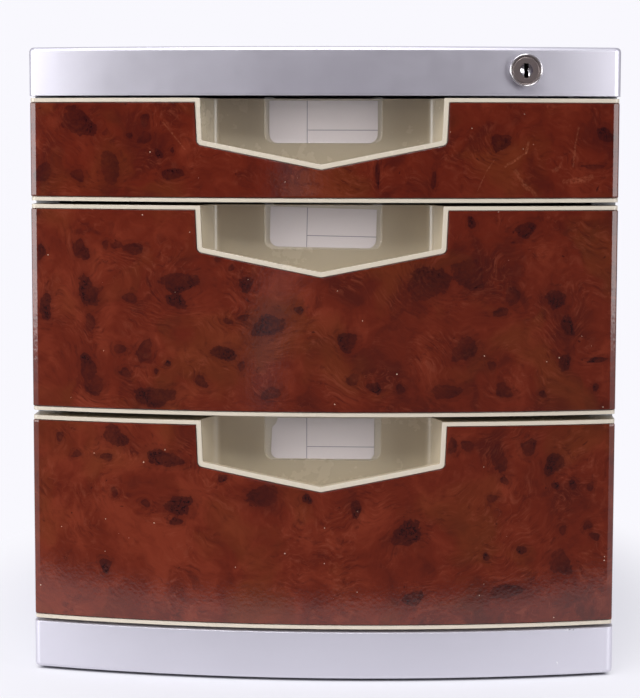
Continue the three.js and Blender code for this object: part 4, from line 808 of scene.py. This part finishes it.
def smooth_copy(node):
    shape = bmesh.new()
    shape.from_mesh(frame["nodes"][node].data)
    bmesh.ops.remove_doubles(shape, verts=shape.verts, dist=WELD_WITHIN)
    flat = math.radians(FLAT_DEGREES)
    bmesh.ops.dissolve_limit(shape, angle_limit=flat, verts=shape.verts, edges=shape.edges)
    stand_for(new_piece(node + "_smooth", shape), node)


SHELLS = ["top_cover", "base", "side_panel_left", "side_panel_right", "back_panel"]
SHELLS += ["lock_nut", "lock_cam", "lock_cam_screw", "lock_bar"]
SHELLS += [drawer + part for drawer in DRAWERS for part in ("_front", "_tray")]
for node in SHELLS:
    smooth_copy(node)

# %% [markdown]
# ## The outline of a facing
# A facing is made flat, as outline and depth, and bent afterwards. That is also how the real sheet is made,
# and it keeps every cut simple. Its outline is a rectangle with the finger notch cut from its top edge: two
# nearly upright flanks and a shallow V. Each corner is given with its radius, and an arc is put in between
# the two points where it touches the straight edges. Only the right half is written down, because the left
# one mirrors it.


# %% Rounded outlines
def rounded_outline(corners, steps=5):
    points = []
    for index, (corner, radius) in enumerate(corners):
        here = Vector(corner)
        back = (Vector(corners[index - 1][0]) - here).normalized()
        on = (Vector(corners[(index + 1) % len(corners)][0]) - here).normalized()
        if not radius:
            points.append(here)
            continue
        half_angle = back.angle(on) / 2
        centre = here + (back + on).normalized() * (radius / math.sin(half_angle))
        first = here + back * (radius / math.tan(half_angle)) - centre
        last = here + on * (radius / math.tan(half_angle)) - centre
        for step in range(steps + 1):
            turn = first.angle_signed(last) * step / steps
            points.append(centre + Matrix.Rotation(-turn, 2) @ first)
    return points


def mirrored(right, middle=()):
    left = [((-across, up), radius) for (across, up), radius in right]
    return left[:1] + right + list(middle) + left[:0:-1]


def drawn_in(outline, inset):
    moved = []
    for index, here in enumerate(outline):
        before = (here - outline[index - 1]).normalized()
        after = (outline[(index + 1) % len(outline)] - here).normalized()
        inward = Vector((-before.y, before.x)) + Vector((-after.y, after.x))
        moved.append(here + inward * (inset * 2 / inward.length_squared))
    return moved


print(len(rounded_outline(mirrored([((10, 0), 1), ((10, 5), 1)]))), "points round a rectangle")

# %% The outline of a facing
FACING_HALF = box_in_mm("top_drawer_facing")[1][0]
RIM, BOND_GAP = 2.3, 0.3
NOTCH_TOP_HALF, NOTCH_BEND_HALF = 63.5 + BOND_GAP, 62.5 + BOND_GAP
NOTCH_BEND_DOWN, NOTCH_APEX_DOWN = 23.2, 35.6
NOTCH_ROUND, MOUTH_ROUND, CORNER_ROUND = 2.7, 0.35, 0.6


def facing_outline(low, high):
    top = high + RIM
    mouth = (NOTCH_TOP_HALF - RIM / NOTCH_BEND_DOWN, high)
    bend = (NOTCH_BEND_HALF, top - NOTCH_BEND_DOWN - BOND_GAP * 0.75)
    apex = (0.0, top - NOTCH_APEX_DOWN - BOND_GAP * 1.02)
    right = [((FACING_HALF, low), CORNER_ROUND), ((FACING_HALF, high), CORNER_ROUND)]
    right += [(mouth, MOUTH_ROUND), (bend, NOTCH_ROUND)]
    return rounded_outline(mirrored(right, [(apex, NOTCH_ROUND)]))


def front_ends(drawer):
    low, high = box_in_mm(drawer + "_front")
    return low[2], high[2]


base, top = front_ends("bottom_drawer")
print(len(facing_outline(base + RIM, top - RIM)), "points round a deep facing")

# %% [markdown]
# ## Eyes and grain of the burl
# Each eye is a place on its facing with a half width and a half height, all in millimetres from the middle
# of the front's lower edge. The places were chosen from the photograph, so the darkest marks sit
# where they are on the real cabinet. No eye is a clean oval, so two slow waves round its middle push its
# edge in and out, and one side is darker than the other. Some of the large ones are paler in the middle.
# The grain is the height of a tilted plane with a bump at every eye: its contour lines run across the sheet
# and bend round the eyes, as growth rings do round a knot. On the bottom drawer a wide cone takes the
# plane's place, so that the grain sweeps round a point above it.

# %% Places of the eyes
EYES = {
    "top_drawer": [
        (-124, 40, 7.6, 6.1), (-89, 41, 2.5, 2.5), (-89, 32, 3.0, 2.8), (-97, 33, 1.5, 1.5),
        (-82, 24, 2.0, 2.0), (-75, 26, 1.3, 1.3), (-75, 14, 4.5, 3.0), (-124, 13, 3.0, 3.0),
        (-107, 17, 5.0, 6.6), (-143, 14, 4.1, 3.6), (89, 30, 3.5, 4.5), (142, 34, 4.0, 3.0),
        (28, 14, 1.2, 5.5), (56, 11, 1.2, 4.5), (136, 18, 4.5, 1.5),
    ],
    "middle_drawer": [
        (-123, 83, 3.8, 4.6), (-110, 86, 1.8, 1.8), (-104, 86, 2.3, 2.0), (-95, 84, 3.8, 3.0),
        (-119, 61, 5.1, 5.6), (-142, 54, 3.1, 5.6), (-144, 82, 1.8, 3.6), (-97, 59, 3.0, 3.0),
        (-118, 46, 2.5, 3.6), (-90, 32, 3.8, 4.6), (-72, 67, 7.6, 5.0), (-74, 58, 4.5, 3.5),
        (-38, 67, 3.8, 3.0), (-45, 75, 1.5, 1.5), (-52, 79, 1.5, 1.5), (-47, 48, 2.5, 1.3),
        (-39, 50, 3.0, 1.3), (-27, 46, 6.3, 5.5), (-49, 32, 5.0, 3.5), (-120, 23, 3.8, 5.6),
        (-116, 13, 4.6, 3.8), (-103, 33, 2.5, 2.5), (-100, 21, 2.5, 2.3), (-84, 22, 1.3, 1.3),
        (-78, 26, 1.5, 1.5), (-85, 9, 7.6, 5.1), (-61, 17, 3.0, 2.5), (-40, 25, 2.0, 2.0),
        (-25, 12, 4.0, 3.0), (-11, 54, 2.0, 2.0), (75, 98, 2.0, 2.5), (102, 94, 5.0, 3.0),
        (53, 68, 8.0, 8.5), (74, 72, 6.5, 7.5), (96, 61, 3.8, 3.5), (90, 53, 3.5, 2.0), (118, 59, 3.8, 5.0),
        (124, 46, 3.0, 4.6), (13, 38, 4.5, 3.8), (72, 34, 5.0, 5.5), (86, 26, 1.5, 2.5), (92, 13, 4.0, 3.0),
        (123, 27, 3.0, 3.8), (140, 28, 4.6, 1.5), (27, 15, 3.0, 2.5), (40, 14, 2.5, 2.0),
        (16, 19, 2.5, 2.5), (63, 13, 5.5, 3.8), (112, 11, 1.8, 1.8), (139, 14, 1.8, 1.8),
    ],
    "bottom_drawer": [
        (-106, 97, 5.6, 4.6), (-135, 96, 2.1, 1.8), (-126, 87, 2.1, 1.8), (-110, 86, 2.6, 2.0),
        (-80, 86, 8.9, 3.1), (-73, 62, 7.1, 3.8), (-74, 54, 2.5, 2.0), (-90, 63, 2.0, 2.0),
        (-106, 68, 1.8, 1.8), (-29, 68, 7.1, 4.6), (-50, 77, 2.0, 2.0), (-7, 67, 2.3, 2.3),
        (-111, 30, 3.1, 2.6), (66, 94, 2.5, 3.8), (74, 94, 2.3, 3.3), (90, 87, 3.8, 5.6),
        (105, 93, 3.8, 3.3), (118, 84, 3.8, 5.6), (119, 73, 2.0, 2.0), (128, 73, 2.0, 2.0),
        (137, 72, 2.0, 2.0), (87, 67, 2.5, 2.0), (93, 76, 2.0, 2.0), (18, 62, 2.5, 3.8), (44, 49, 6.3, 5.6),
        (102, 40, 2.3, 2.3), (122, 33, 5.1, 5.6), (123, 50, 2.0, 2.0), (136, 52, 2.0, 2.0),
        (140, 46, 2.0, 2.0), (84, 37, 1.8, 1.8), (47, 16, 5.1, 3.0), (94, 19, 7.1, 3.6),
    ],
}
print({drawer: len(eyes) for drawer, eyes in EYES.items()}, "eyes")

# %% Values that the mesh carries
PLANE_SLOPE_ACROSS, PLANE_SLOPE_UP = 0.16, 0.34
CONE_ACROSS, CONE_UP, CONE_SQUEEZE, CONE_SLOPE = 12, 128, 1.25, 0.36
FAR_FROM_EYES, EYE_REACH, TWO_LOBES, THREE_LOBES = -3.0, 1.15, 0.17, 0.11
BUMP_REACH, BUMP_HEIGHT = 3.0, 0.7


def plain_figure(drawer, across, up):
    if drawer == "bottom_drawer":
        return math.hypot(across - CONE_ACROSS, (up - CONE_UP) * CONE_SQUEEZE) * CONE_SLOPE
    return across * PLANE_SLOPE_ACROSS + up * PLANE_SLOPE_UP


def burl_values(across, up, eyes):
    depth, strength, bumps = FAR_FROM_EYES, 0.5, 0.0
    for index, (eye_across, eye_up, half_width, half_height) in enumerate(eyes):
        right, above = (across - eye_across) / half_width, (up - eye_up) / half_height
        away = math.hypot(right, above)
        if away < 8:
            bumps += math.exp(-away * away / BUMP_REACH**2) * (half_width + half_height) * BUMP_HEIGHT
        angle = math.atan2(above, right)
        # The index turns the waves and the dark side, so no two eyes look alike.
        lumps = TWO_LOBES * math.sin(2 * angle + index * 1.7)
        lumps += THREE_LOBES * math.sin(3 * angle + index * 2.9)
        inside = EYE_REACH - away * (1 + lumps)
        if inside > depth:
            darker_side = 0.25 * math.cos(angle - index * 2.4) * min(away, 1.0)
            hollow = 0.4 * max(0.0, 1 - away / 0.6) if index % 3 == 1 and half_width > 2.4 else 0.0
            depth, strength = inside, min(1.0, 0.72 + 0.24 * math.sin(index * 5.3) + darker_side - hollow)
    return depth, strength, bumps


print("depth in the middle of an eye:", burl_values(0, 0, [(0, 0, 5, 5)])[0])

# %% [markdown]
# ## Building a facing
# Four outlines, each drawn in a little more, make the small round at the front edge. The face in the middle
# is then cut into a grid. Upright cuts let it bend, and all the cuts together give the eyes enough points
# to live on. Last, every point goes to its place on the bow. The last 3 mm at each end lean back as a bevel
# with a round edge: that is the strip at each side that mirrors the soft box.

# %% Facings
FACING_THICKNESS, GRID_STEP, FIRST_ROW = 3.2, 1.5, 0.9
EDGE_RINGS = [(0.0, FACING_THICKNESS), (0.0, 0.45), (0.13, 0.13), (0.45, 0.0)]
END_BEVEL, END_ROUND, BEVEL_LEAN, BEVEL_CURVE = 3.0, 0.8, 0.14, 0.012
END_CUTS = (0.1, 0.3, 0.55, END_ROUND, 1.5, 2.2, 2.95, END_BEVEL, 3.1)


def end_drop(across):
    past = max(0.0, across - (FACING_HALF - END_BEVEL))
    last = max(0.0, across - (FACING_HALF - END_ROUND))
    leaned = past * BEVEL_LEAN + past**2 * BEVEL_CURVE
    return leaned + END_ROUND - math.sqrt(max(0.0, END_ROUND**2 - last**2))


def stitch(shape, rings):
    for outer, inner in zip(rings, rings[1:]):
        for i in range(len(outer)):
            j = (i + 1) % len(outer)
            shape.faces.new((outer[i], outer[j], inner[j], inner[i]))


def cut(shape, faces, place, normal):
    edges = {edge for face in faces for edge in face.edges}
    verts = {vert for face in faces for vert in face.verts}
    geometry = [*edges, *verts, *faces]
    bmesh.ops.bisect_plane(shape, geom=geometry, plane_co=place, plane_no=normal, dist=1e-5)


def facing(drawer):
    base, top = front_ends(drawer)
    low, high = base + RIM, top - RIM
    outline = facing_outline(low, high)
    shape = bmesh.new()
    rings = []
    for inset, depth in EDGE_RINGS:
        rings.append([shape.verts.new((p.x, depth, p.y)) for p in drawn_in(outline, inset)])
    stitch(shape, rings)
    shape.faces.new(rings[-1])
    shape.faces.new(list(reversed(rings[0])))
    ends = [FACING_HALF - inward for inward in END_CUTS]
    steps = int((FACING_HALF - END_BEVEL) / GRID_STEP)
    inner = [step * GRID_STEP for step in range(-steps, steps + 1)]
    for x in sorted([-end for end in ends] + ends + inner):
        cut(shape, list(shape.faces), (x, 0, 0), (1, 0, 0))
    for row in range(int((high - low) / GRID_STEP)):
        front = [f for f in shape.faces if all(v.co.y < 0.01 for v in f.verts)]
        cut(shape, front, (0, 0, low + FIRST_ROW + row * GRID_STEP), (0, 0, 1))
    eye_layer, strength_layer, figure_layer = (
        shape.verts.layers.float.new(name) for name in ("eye", "eye_strength", "figure")
    )
    for vert in shape.verts:
        across, depth, up = vert.co
        vert[eye_layer], vert[strength_layer], bumps = burl_values(across, up - base, EYES[drawer])
        vert[figure_layer] = bumps + plain_figure(drawer, across, up - base)
        sunk = end_drop(abs(across))
        depth = sunk + depth * (FACING_THICKNESS - sunk) / FACING_THICKNESS
        vert.co = Vector((across, bow(across, depth), up)) * MM
    bmesh.ops.recalc_face_normals(shape, faces=shape.faces)
    stand_for(new_piece(drawer + "_facing_sheet", shape), drawer + "_facing", sharp_degrees=40.0)


for drawer in DRAWERS:
    facing(drawer)

# %% [markdown]
# ## Label windows and cards
# A window is a clear sheet, 0.8 mm thick, with two ears at its upper corners and round lower corners. Its
# edge is rounded, because a square edge of clear plastic shows as a hard black line. The card behind it is
# cut from paper and never sits quite straight: the middle one leans and the bottom one lost a corner.


# %% Label windows
EAR_WIDTH, EAR_HEIGHT, EAR_ROUND, LOWER_ROUND, EDGE_ROUND = 4.0, 1.0, 0.3, 4.5, 0.22


def sheet_shape(outline, y_front, y_back, rounding):
    shape = bmesh.new()
    middle = [(rounding, y_front), (rounding * 0.3, y_front + rounding * 0.3), (0.0, y_front + rounding)]
    middle += [(0.0, y_back - rounding), (rounding * 0.3, y_back - rounding * 0.3), (rounding, y_back)]
    rings = []
    for inset, y in middle:
        rings.append([shape.verts.new((p.x * MM, y * MM, p.y * MM)) for p in drawn_in(outline, inset)])
    stitch(shape, rings)
    shape.faces.new(rings[0])
    shape.faces.new(rings[-1])
    bmesh.ops.recalc_face_normals(shape, faces=shape.faces)
    return shape


def label_window(drawer):
    node = drawer + "_label_window"
    low, (half, y_back, ear) = box_in_mm(node)
    inner, dip = half - EAR_WIDTH, ear - EAR_HEIGHT
    right = [((half, low[2]), LOWER_ROUND)]
    right += [(corner, EAR_ROUND) for corner in ((half, ear), (inner, ear), (inner, dip))]
    shape = sheet_shape(rounded_outline(mirrored(right), 8), low[1], y_back, EDGE_ROUND)
    stand_for(new_piece(node + "_sheet", shape), node, sharp_degrees=50.0)


for drawer in DRAWERS:
    label_window(drawer)

# %% Label cards
CARD_FRONT, CARD_BACK, CARD_MIDDLE_DOWN = -173.98, -173.72, 11.5
CARD_LEAN = {"top_drawer": 0.0, "middle_drawer": -1.1, "bottom_drawer": 0.0}
CARD_CORNERS = {
    "top_drawer": [((-27.6, 22.4), 4.4), ((27.6, 22.4), 4.4), ((27.6, 1.0), 0), ((-27.6, 1.0), 0)],
    "middle_drawer": [((-27.2, 21.9), 4.2), ((27.1, 21.7), 4.2), ((27.2, 1.9), 0), ((-27.2, 1.5), 0)],
    "bottom_drawer": [
        ((-26.9, 22.0), 3.6), ((24.8, 22.2), 0.8), ((26.5, 19.8), 0.8), ((26.5, 1.0), 0),
        ((-23.2, 1.0), 0.6), ((-24.1, 3.6), 0.8), ((-26.2, 6.0), 0.6),
    ],
}


def label_card(drawer):
    top = front_ends(drawer)[1]
    corners = [((across, -down), radius) for (across, down), radius in CARD_CORNERS[drawer]]
    shape = sheet_shape(rounded_outline(corners, 6), CARD_FRONT, CARD_BACK, 0.05)
    print_map = shape.loops.layers.uv.new("print")
    lean = Matrix.Rotation(math.radians(-CARD_LEAN[drawer]), 4, "Y")
    for face in shape.faces:
        for loop in face.loops:
            loop[print_map].uv = (loop.vert.co.x / MM, -loop.vert.co.z / MM)
    middle = Vector((0, 0, -CARD_MIDDLE_DOWN)) * MM
    for vert in shape.verts:
        vert.co = lean @ (vert.co - middle) + middle + Vector((0, 0, top * MM))
    node = drawer + "_label_card"
    stand_for(new_piece(node + "_sheet", shape), node, sharp_degrees=0)


for drawer in DRAWERS:
    label_card(drawer)

# %% [markdown]
# ## Turned pieces
# Lock, feet and screws are round. A lathe turns a profile round an axis, so each of them is a short list of
# radius and length. Small arcs in the profile stand for rounded rims, and those rims are where chrome
# catches the light.


# %% The lathe
def turn(profile, sides=64):
    shape = bmesh.new()
    rings = []
    for radius, along in profile:
        if radius == 0:
            rings.append([shape.verts.new((0, along * MM, 0))])
            continue
        angles = [2 * math.pi * side / sides for side in range(sides)]
        circle = [(radius * MM * math.cos(a), radius * MM * math.sin(a)) for a in angles]
        rings.append([shape.verts.new((x, along * MM, z)) for x, z in circle])
    for one, two in zip(rings, rings[1:]):
        for i in range(sides):
            j = (i + 1) % sides
            if len(one) == 1:
                shape.faces.new((one[0], two[i], two[j]))
            elif len(two) == 1:
                shape.faces.new((one[i], two[0], one[j]))
            else:
                shape.faces.new((one[i], two[i], two[j], one[j]))
    bmesh.ops.recalc_face_normals(shape, faces=shape.faces)
    return shape


def carve(piece, cutter):
    cutting = piece.modifiers.new("cut", "BOOLEAN")
    cutting.object, cutting.operation, cutting.solver = cutter, "DIFFERENCE", "EXACT"
    evaluated = piece.evaluated_get(bpy.context.evaluated_depsgraph_get())
    carved = bpy.data.meshes.new_from_object(evaluated)
    piece.modifiers.clear()
    piece.data = carved
    bpy.data.objects.remove(cutter)


def prism(name, outline, y_front, y_back):
    shape = bmesh.new()
    near = [shape.verts.new((x * MM, y_front * MM, z * MM)) for x, z in outline]
    far = [shape.verts.new((x * MM, y_back * MM, z * MM)) for x, z in outline]
    shape.faces.new(near)
    shape.faces.new(list(reversed(far)))
    for i in range(len(outline)):
        j = (i + 1) % len(outline)
        shape.faces.new((near[i], far[i], far[j], near[j]))
    bmesh.ops.recalc_face_normals(shape, faces=shape.faces)
    return new_piece(name, shape)


def lathe_arc(radius_at, along_at, size, start, end, steps=5):
    turns = [math.radians(start + (end - start) * step / steps) for step in range(steps + 1)]
    return [(radius_at + size * math.cos(a), along_at + size * math.sin(a)) for a in turns]


def mark_faces(piece, name, test):
    marks = [float(test(face.center / MM)) for face in piece.data.polygons]
    piece.data.attributes.new(name, "FLOAT", "FACE").data.foreach_set("value", marks)
    print(int(sum(marks)), "faces of", piece.name, "are marked", name)


print(len(lathe_arc(1, 0, 0.2, 0, 90)), "points in a small arc")

# %% [markdown]
# ## The lock
# The housing is a chrome flange with a raised rim, and a barrel that goes through the cover. The plug sits
# in it with its face a little below the rim. A cone is sunk round the keyway to guide the key. The keyway
# is cut last, with a prism, right through the cone. The rim and the cone are polished. The flat faces are
# only brushed, so they carry one more value that makes them duller.

# %% Lock housing
FLANGE_OUT, FLAT_FROM, FLAT_TO, CONE_RADIUS = 2.2, 6.6, 7.35, 3.2
low, high = box_in_mm("lock_housing", 2)
lock_middle = [round((least + most) / 2, 1) for least, most in zip(low, high)]
LOCK_PLACE = Vector((lock_middle[0], low[1] + FLANGE_OUT, lock_middle[2])) * MM


def from_axis(place):
    return math.hypot(place.x, place.z)


housing_profile = [(5.05, -0.05), (6.65, -0.05), (6.65, -1.5)] + lathe_arc(6.75, -1.5, 0.1, 180, 270, 3)
housing_profile += [(7.38, -1.6)] + lathe_arc(7.38, -1.72, 0.12, 90, 0, 3) + [(7.5, -1.95)]
housing_profile += lathe_arc(7.72, -1.98, 0.22, 180, 270, 4) + lathe_arc(7.72, -1.72, 0.48, 270, 360, 6)
housing_profile += [(8.2, -0.1), (8.1, -0.0), (6.2, 0.0), (6.2, 26.0), (5.05, 26.0), (5.05, -0.05)]
housing = new_piece("lock_housing_turned", turn(housing_profile, 96))
mark_faces(housing, "satin", lambda place: FLAT_FROM < from_axis(place) < FLAT_TO)
housing.data.transform(Matrix.Translation(LOCK_PLACE))
stand_for(housing, "lock_housing", sharp_degrees=42.0)

# %% Lock plug
plug_profile = [(0, -0.1), (3.1, -1.65), (3.3, -1.7), (6.15, -1.7)]
plug_profile += lathe_arc(6.15, -1.45, 0.25, 270, 360, 4)
plug_profile += [(6.4, -0.3), (4.8, -0.3), (4.8, 26.1), (0, 26.1)]
plug = new_piece("lock_plug_turned", turn(plug_profile, 96))
keyway = [(-1.2, 3.45), (1.2, 3.45), (1.2, 1.1), (0.75, 0.8), (0.75, -0.3), (1.2, -0.6)]
keyway += [(1.2, -3.9), (-1.2, -3.9), (-1.2, -1.9), (-0.8, -1.6), (-0.8, -0.6), (-1.2, -0.3)]
KEYWAY_FROM, KEYWAY_TO = -3.0, 12.3
carve(plug, prism("keyway_cutter", keyway, KEYWAY_FROM, KEYWAY_TO))


def in_keyway(place):
    return abs(place.x) < 1.3 and abs(place.z) < 4 and 0.5 < place.y < 20


tail = bmesh.new()
tail.from_mesh(plug.data)
square_tail = Matrix.Translation((0, 27.1 * MM, 0)) @ Matrix.Diagonal((5 * MM, 2.06 * MM, 5 * MM, 1))
bmesh.ops.create_cube(tail, size=1.0, matrix=square_tail)
tail.to_mesh(plug.data)
tail.free()
# The keyway's faces are marked for painted shade, which the chrome turns near black.
mark_faces(plug, "painted_keyway_shade", in_keyway)
mark_faces(plug, "satin", lambda place: not in_keyway(place) and from_axis(place) >= CONE_RADIUS)
plug.data.transform(Matrix.Translation(LOCK_PLACE))
stand_for(plug, "lock_plug", sharp_degrees=42.0)

# %% [markdown]
# ## Feet and screws
# A foot is a rubber pad with a stem that plugs into the plinth. A screw has a domed head with a cross
# recess and a threaded shank. One screw is made and carved once, and the other copies take its mesh, turned
# so that the shank points the way that the CAD screw does: upwards through the cover and the plinth,
# forwards through the fronts.

# %% Feet
foot_profile = [(0, 0.0), (7.0, 0.0)] + lathe_arc(7.3, 0.7, 0.7, 270, 360, 5)
foot_profile += lathe_arc(7.6, 3.0, 0.4, 0, 90, 4) + [(2.5, 3.4), (2.5, 10.3), (1.9, 10.9), (0, 10.9)]
for end in ("front", "rear"):
    for side in ("left", "right"):
        node = f"foot_{end}_{side}"
        low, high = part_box(node)
        foot = new_piece(node + "_turned", turn(foot_profile, 48))
        centre = Matrix.Translation(((low.x + high.x) / 2, (low.y + high.y) / 2, 0))
        foot.data.transform(centre @ Matrix.Rotation(math.radians(90), 4, "X"))
        stand_for(foot, node)

# %% Screws
HEAD_HEIGHT, THREAD_COUNT, PITCH = 1.8, 12, 0.8
screw_profile = [(0, -11.0), (0.6, -10.6)]
for thread in range(THREAD_COUNT):
    screw_profile += [(1.3, -10.0 + thread * PITCH), (1.05, -9.6 + thread * PITCH)]
screw_profile += [(1.3, -0.3), (1.3, 0.0), (2.9, 0.0), (3.0, 0.1), (3.0, 0.6)]
screw_profile += [(2.8, 1.05), (2.4, 1.4), (1.8, 1.65), (1.0, 1.78), (0, HEAD_HEIGHT)]
master = new_piece("screw_master", turn(screw_profile, 28))
arm, slot_half = 1.5, 0.32
cross, quarter = [], [(slot_half, slot_half), (slot_half, arm), (-slot_half, arm)]
for side in range(4):
    cross += quarter
    quarter = [(-z, x) for x, z in quarter]
carve(master, prism("cross_cutter", cross, 0.7, 3.0))
screw_nodes = [node for node in body_of if "_screw_" in node and slot_of[node] == "zinc_steel"]
for node in screw_nodes:
    low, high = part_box(node)
    middle = (low + high) / 2
    if high.z - low.z > high.y - low.y:
        turned = Matrix.Rotation(math.radians(-90), 4, "X")
        place = Matrix.Translation((middle.x, middle.y, low.z + HEAD_HEIGHT * MM)) @ turned
    else:
        place = Matrix.Translation((middle.x, high.y - HEAD_HEIGHT * MM, middle.z))
    screw = bpy.data.objects.new(node + "_threaded", master.data.copy())
    scene.collection.objects.link(screw)
    screw.data.transform(place)
    stand_for(screw, node)
bpy.data.objects.remove(master)
print(len(screw_nodes), "screws")

# %% [markdown]
# ## Check that nothing was forgotten
# Every CAD node should by now be hidden behind its finer piece, so the list below has to come out empty.

# %% Remaining nodes
plain_nodes = [node for node, piece in frame["nodes"].items() if not piece.hide_render]
print("nodes that still show:", plain_nodes)
